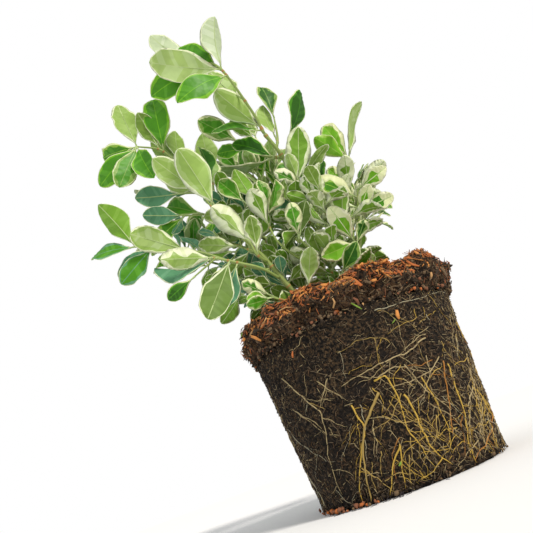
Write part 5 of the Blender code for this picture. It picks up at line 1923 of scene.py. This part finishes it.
def leaf_material(name, colour):
    """Living leaf: a waxy skin over soft green tissue, so a broad low sheen, duller below."""
    below = name.startswith("under")
    made, tree, shader = surface("waxy_leaf_" + name, colour, 0.55 if below else 0.45, 0.22)
    puckers = node(tree, "ShaderNodeTexNoise", Vector=place_of(tree), Scale=150.0, Detail=1.0)
    bump(tree, shader, puckers.outputs["Fac"], 0.4, 2.0 * MM)
    return made


def bark_material(name, colour):
    """Torn bark: dry, matt and fibrous along its grain."""
    made, tree, shader = surface("torn_" + name, colour, 0.9, 0.25)
    grain = node(tree, "ShaderNodeTexNoise", Vector=place_of(tree), Scale=900.0, Detail=3.0)
    bump(tree, shader, grain.outputs["Fac"], 0.6, 0.4 * MM)
    return made


def root_material(name, colour):
    """A living root: smooth skin, moist, so a soft shine."""
    made, tree, shader = surface("living_" + name, colour, 0.55, 0.4)
    grain = node(tree, "ShaderNodeTexNoise", Vector=place_of(tree), Scale=700.0, Detail=2.0)
    bump(tree, shader, grain.outputs["Fac"], 0.3, 0.2 * MM)
    return made


def soil_material(name, colour):
    """Peaty potting mix: near black, matt, in crumbs of two or three browns."""
    made, tree, shader = surface(name, colour, 0.95, 0.2)
    place = place_of(tree)
    grain = node(tree, "ShaderNodeTexNoise", Vector=place, Scale=520.0, Detail=6.0, Roughness=0.7)
    patches = node(tree, "ShaderNodeTexNoise", Vector=place, Scale=60.0, Detail=2.0)
    crumbs = node(tree, "ShaderNodeValToRGB", Fac=grain.outputs["Fac"])
    ramp = crumbs.color_ramp
    ramp.elements[0].position = 0.43
    ramp.elements[0].color = linear("#0d0b09")
    ramp.elements[1].position = 0.62
    ramp.elements[1].color = linear("#604c34")
    middle = ramp.elements.new(0.5)
    middle.color = linear(colour)
    damp = node(tree, "ShaderNodeMapRange", Value=patches.outputs["Fac"])
    damp.inputs["From Min"].default_value = 0.45
    damp.inputs["From Max"].default_value = 0.75
    tint = node(tree, "ShaderNodeMix", {"data_type": "RGBA"}, Factor=damp.outputs["Result"])
    tree.links.new(crumbs.outputs["Color"], tint.inputs[6])
    tint.inputs[7].default_value = linear("#1b1714")
    tree.links.new(tint.outputs[2], shader.inputs["Base Color"])
    bump(tree, shader, grain.outputs["Fac"], 1.0, 1.2 * MM)
    return made


def stem_material(colours):
    """Young green bark, with grey-brown cork that comes over it near the ground."""
    made, tree, shader = surface("young_green_bark", colours.stem, 0.6, 0.35)
    place = place_of(tree)
    streaks = node(tree, "ShaderNodeMapping", Vector=place, Scale=(900.0, 900.0, 120.0))
    grain = node(tree, "ShaderNodeTexNoise", Vector=streaks.outputs["Vector"], Scale=1.0, Detail=3.0)
    height = node(tree, "ShaderNodeSeparateXYZ", Vector=place)
    corky = node(tree, "ShaderNodeMapRange", Value=height.outputs["Z"])
    corky.inputs["From Min"].default_value = MULCH_TOP
    corky.inputs["From Max"].default_value = MULCH_TOP + CORKY_BELOW
    corky.inputs["To Min"].default_value = 0.75
    corky.inputs["To Max"].default_value = 0.08
    share = node(tree, "ShaderNodeMath", {"operation": "MULTIPLY"})
    tree.links.new(corky.outputs["Result"], share.inputs[0])
    tree.links.new(grain.outputs["Fac"], share.inputs[1])
    tint = node(tree, "ShaderNodeMix", {"data_type": "RGBA"}, Factor=share.outputs["Value"])
    tint.inputs[6].default_value = linear(colours.stem)
    tint.inputs[7].default_value = linear("#7a6444")
    tree.links.new(tint.outputs[2], shader.inputs["Base Color"])
    bump(tree, shader, grain.outputs["Fac"], 0.5, 0.4 * MM)
    return made


class PLANT_OT_stems(bpy.types.Operator):
    """Makes the stems and boughs, with nodes and bark"""

    bl_idname = "plant.stems"
    bl_label = "Stems"

    def execute(self, context):
        colours = context.scene.plant_colours
        green = stem_material(colours)
        scar, _, _ = surface("corky_leaf_scar", colours.scar, 0.85)
        for name, spine in grow_limbs().items():
            piece = limb_piece(name + "_bark", spine, (green, scar))
            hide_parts(name)
        return {"FINISHED"}


class PLANT_OT_foliage(bpy.types.Operator):
    """Grows the twigs and leaves of every mass"""

    bl_idname = "plant.foliage"
    bl_label = "Foliage"

    def execute(self, context):
        sizes = context.scene.plant_sizes
        colours = context.scene.plant_colours
        leaf_materials = [leaf_material(name, own) for name, (own, _) in TONES.items()]
        leaf_materials += [leaf_material(name + "_mottle", mottle) for name, (_, mottle) in TONES.items()]
        green, _, _ = surface("green_twig", colours.stem, 0.55)
        scar, _, _ = surface("twig_scar", colours.scar, 0.85)
        crowd = Crowd()
        collar = plain_collar()
        crowd.add("bark_mulch", *shell_of(collar))
        collar.free()
        spines = grow_limbs()
        for name, spine in spines.items():
            crowd.add(name, *tube_shell(spine, LIMB_SIDES, LIMB_RING_STEP))
        mains, masses = grow_masses(spines, crowd)
        for number, (name, (twigs, leaves)) in enumerate(masses.items()):
            rng = np.random.default_rng(FINE_SEED + number)
            if SHOOTS[name].gap:
                fine, small = grow_fine_twigs(name, mains[name], twigs[1:], sizes, rng, crowd)
                twigs = twigs + fine
                leaves = leaves + small
            short = name.replace("leaves_", "")
            piece = leaves_piece("foliage_" + short, leaves, sizes.leaf_rows, leaf_materials, rng)
            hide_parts(name)
            wood = twigs_piece("twigs_" + short, twigs, (green, scar))
        return {"FINISHED"}


class PLANT_OT_root_ball(bpy.types.Operator):
    """Makes the potting mix and the roots that hold it"""

    bl_idname = "plant.root_ball"
    bl_label = "Root ball"

    def execute(self, context):
        sizes = context.scene.plant_sizes
        roots = [root_material(name, colour) for name, colour in ROOT_TONES.items()]
        fibres = [bark_material(name, colour) for name, colour in FIBRE_TONES.items()]
        body = soil_body([soil_material("peaty_potting_mix", context.scene.plant_colours.soil)])
        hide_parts("root_ball")
        pieces = [body, thick_roots(roots), fine_roots(sizes.fine_roots, roots), soil_fibres(sizes.soil_fibres, fibres)]
        return {"FINISHED"}


class PLANT_OT_mulch(bpy.types.Operator):
    """Makes the collar of bark mulch"""

    bl_idname = "plant.mulch"
    bl_label = "Bark mulch"

    def execute(self, context):
        sizes = context.scene.plant_sizes
        bark = [bark_material(name, colour) for name, colour in BARK_TONES.items()]
        body = finished("mulch_bed", crumbly_collar(), [soil_material("rotted_bark", "#4a3423")])
        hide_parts("bark_mulch")
        for piece in (body, bark_flakes(sizes.bark_flakes, bark), mulch_crumbs(sizes.mulch_crumbs, bark)):
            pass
        return {"FINISHED"}


# The camera, fitted to the photograph: low in front of the ball, looking up, and rolled by the plant's lean
CAMERA_PLACE = Vector((0, -400, 33)) * MM
CAMERA_PAN = math.radians(-6.1)
CAMERA_TILT = math.radians(20.7)
CAMERA_ROLL = math.radians(-20.5)
PHOTO_SIDE_PX = 533
FOCAL_LENGTH_PX = 530
SENSOR_WIDTH = 36.0
SKY_LIGHT = 0.55
PLANT_MIDDLE = Vector((0, 0, 200)) * MM


def add_camera():
    forward = Vector((
        math.sin(CAMERA_PAN) * math.cos(CAMERA_TILT),
        math.cos(CAMERA_PAN) * math.cos(CAMERA_TILT),
        math.sin(CAMERA_TILT),
    ))
    level = Vector((math.cos(CAMERA_PAN), -math.sin(CAMERA_PAN), 0))
    above = level.cross(forward)
    right = level * math.cos(CAMERA_ROLL) + above * math.sin(CAMERA_ROLL)
    up = above * math.cos(CAMERA_ROLL) - level * math.sin(CAMERA_ROLL)
    lens = bpy.data.cameras.new("camera")
    lens.lens = SENSOR_WIDTH * FOCAL_LENGTH_PX / PHOTO_SIDE_PX
    lens.sensor_width = SENSOR_WIDTH
    lens.clip_start = 10 * MM
    camera = bpy.data.objects.new("camera", lens)
    turn = Matrix((right, up, -forward)).transposed().to_4x4()
    camera.matrix_world = Matrix.Translation(CAMERA_PLACE) @ turn
    bpy.context.scene.collection.objects.link(camera)
    bpy.context.scene.camera = camera


def add_light(name, kind, place, size, power, colour):
    """A lamp that looks at the plant. Its size is an angle in degrees for a sun, metres for a disk."""
    lamp = bpy.data.lights.new(name, kind)
    if kind == "SUN":
        lamp.angle = math.radians(size)
    else:
        lamp.shape = "DISK"
        lamp.size = size
    lamp.energy = power
    lamp.color = linear(colour)[:3]
    obj = bpy.data.objects.new(name, lamp)
    obj.location = place
    obj.rotation_euler = (PLANT_MIDDLE - Vector(place)).to_track_quat("-Z", "Y").to_euler()
    bpy.context.scene.collection.objects.link(obj)


class PLANT_OT_stage(bpy.types.Operator):
    """Adds a pale floor, soft light and the camera"""

    bl_idname = "plant.stage"
    bl_label = "Stage"

    def execute(self, context):
        floor_colour = context.scene.plant_colours.floor
        bm = bmesh.new()
        bmesh.ops.create_circle(bm, cap_ends=True, segments=96, radius=6)
        mesh = bpy.data.meshes.new("floor")
        bm.to_mesh(mesh)
        bm.free()
        floor_material, _, _ = surface("matt_white_floor", floor_colour, 1.0, 0.0)
        mesh.materials.append(floor_material)
        floor = bpy.data.objects.new("floor", mesh)
        context.scene.collection.objects.link(floor)
        world = bpy.data.worlds.new("studio")
        world.use_nodes = True
        sky = world.node_tree.nodes["Background"]
        sky.inputs["Color"].default_value = (1, 1, 1, 1)
        seen = node(world.node_tree, "ShaderNodeLightPath").outputs["Is Camera Ray"]
        strength = node(world.node_tree, "ShaderNodeMapRange", Value=seen)
        strength.inputs["To Min"].default_value = SKY_LIGHT
        strength.inputs["To Max"].default_value = 1.0
        world.node_tree.links.new(strength.outputs["Result"], sky.inputs["Strength"])
        context.scene.world = world
        add_light("key", "SUN", (0.9, -0.9, 1.3), 12, 2.6, "#fff9f0")
        add_light("fill", "AREA", (-1.2, -0.7, 0.3), 1.4, 3, "#dcebff")
        add_camera()
        context.scene.view_settings.view_transform = "Standard"
        return {"FINISHED"}


class PLANT_PT_panel(bpy.types.Panel):
    """Lists the steps that build the plant"""

    bl_label = "Euonymus"
    bl_idname = "PLANT_PT_panel"
    bl_space_type = "VIEW_3D"
    bl_region_type = "UI"
    bl_category = "Euonymus"

    def draw(self, context):
        for group in (context.scene.plant_sizes, context.scene.plant_colours):
            for key in group.__annotations__:
                self.layout.prop(group, key)
        for step in STEPS:
            self.layout.operator(step.bl_idname)


STEPS = (PLANT_OT_stems, PLANT_OT_foliage, PLANT_OT_root_ball, PLANT_OT_mulch, PLANT_OT_stage)
CLASSES = (PlantSizes, PlantColours, *STEPS, PLANT_PT_panel)


def register():
    for each in CLASSES:
        bpy.utils.register_class(each)
    bpy.types.Scene.plant_sizes = bpy.props.PointerProperty(type=PlantSizes)
    bpy.types.Scene.plant_colours = bpy.props.PointerProperty(type=PlantColours)


def unregister():
    del bpy.types.Scene.plant_colours
    del bpy.types.Scene.plant_sizes
    for each in reversed(CLASSES):
        bpy.utils.unregister_class(each)


def write_sizes():
    """Brings the view layer up to date."""
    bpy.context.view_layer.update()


def main():
    register()
    bpy.ops.plant.stage()
    bpy.ops.plant.stems()
    bpy.ops.plant.root_ball()
    bpy.ops.plant.mulch()
    bpy.ops.plant.foliage()
    write_sizes()


if __name__ == "__main__":
    main()
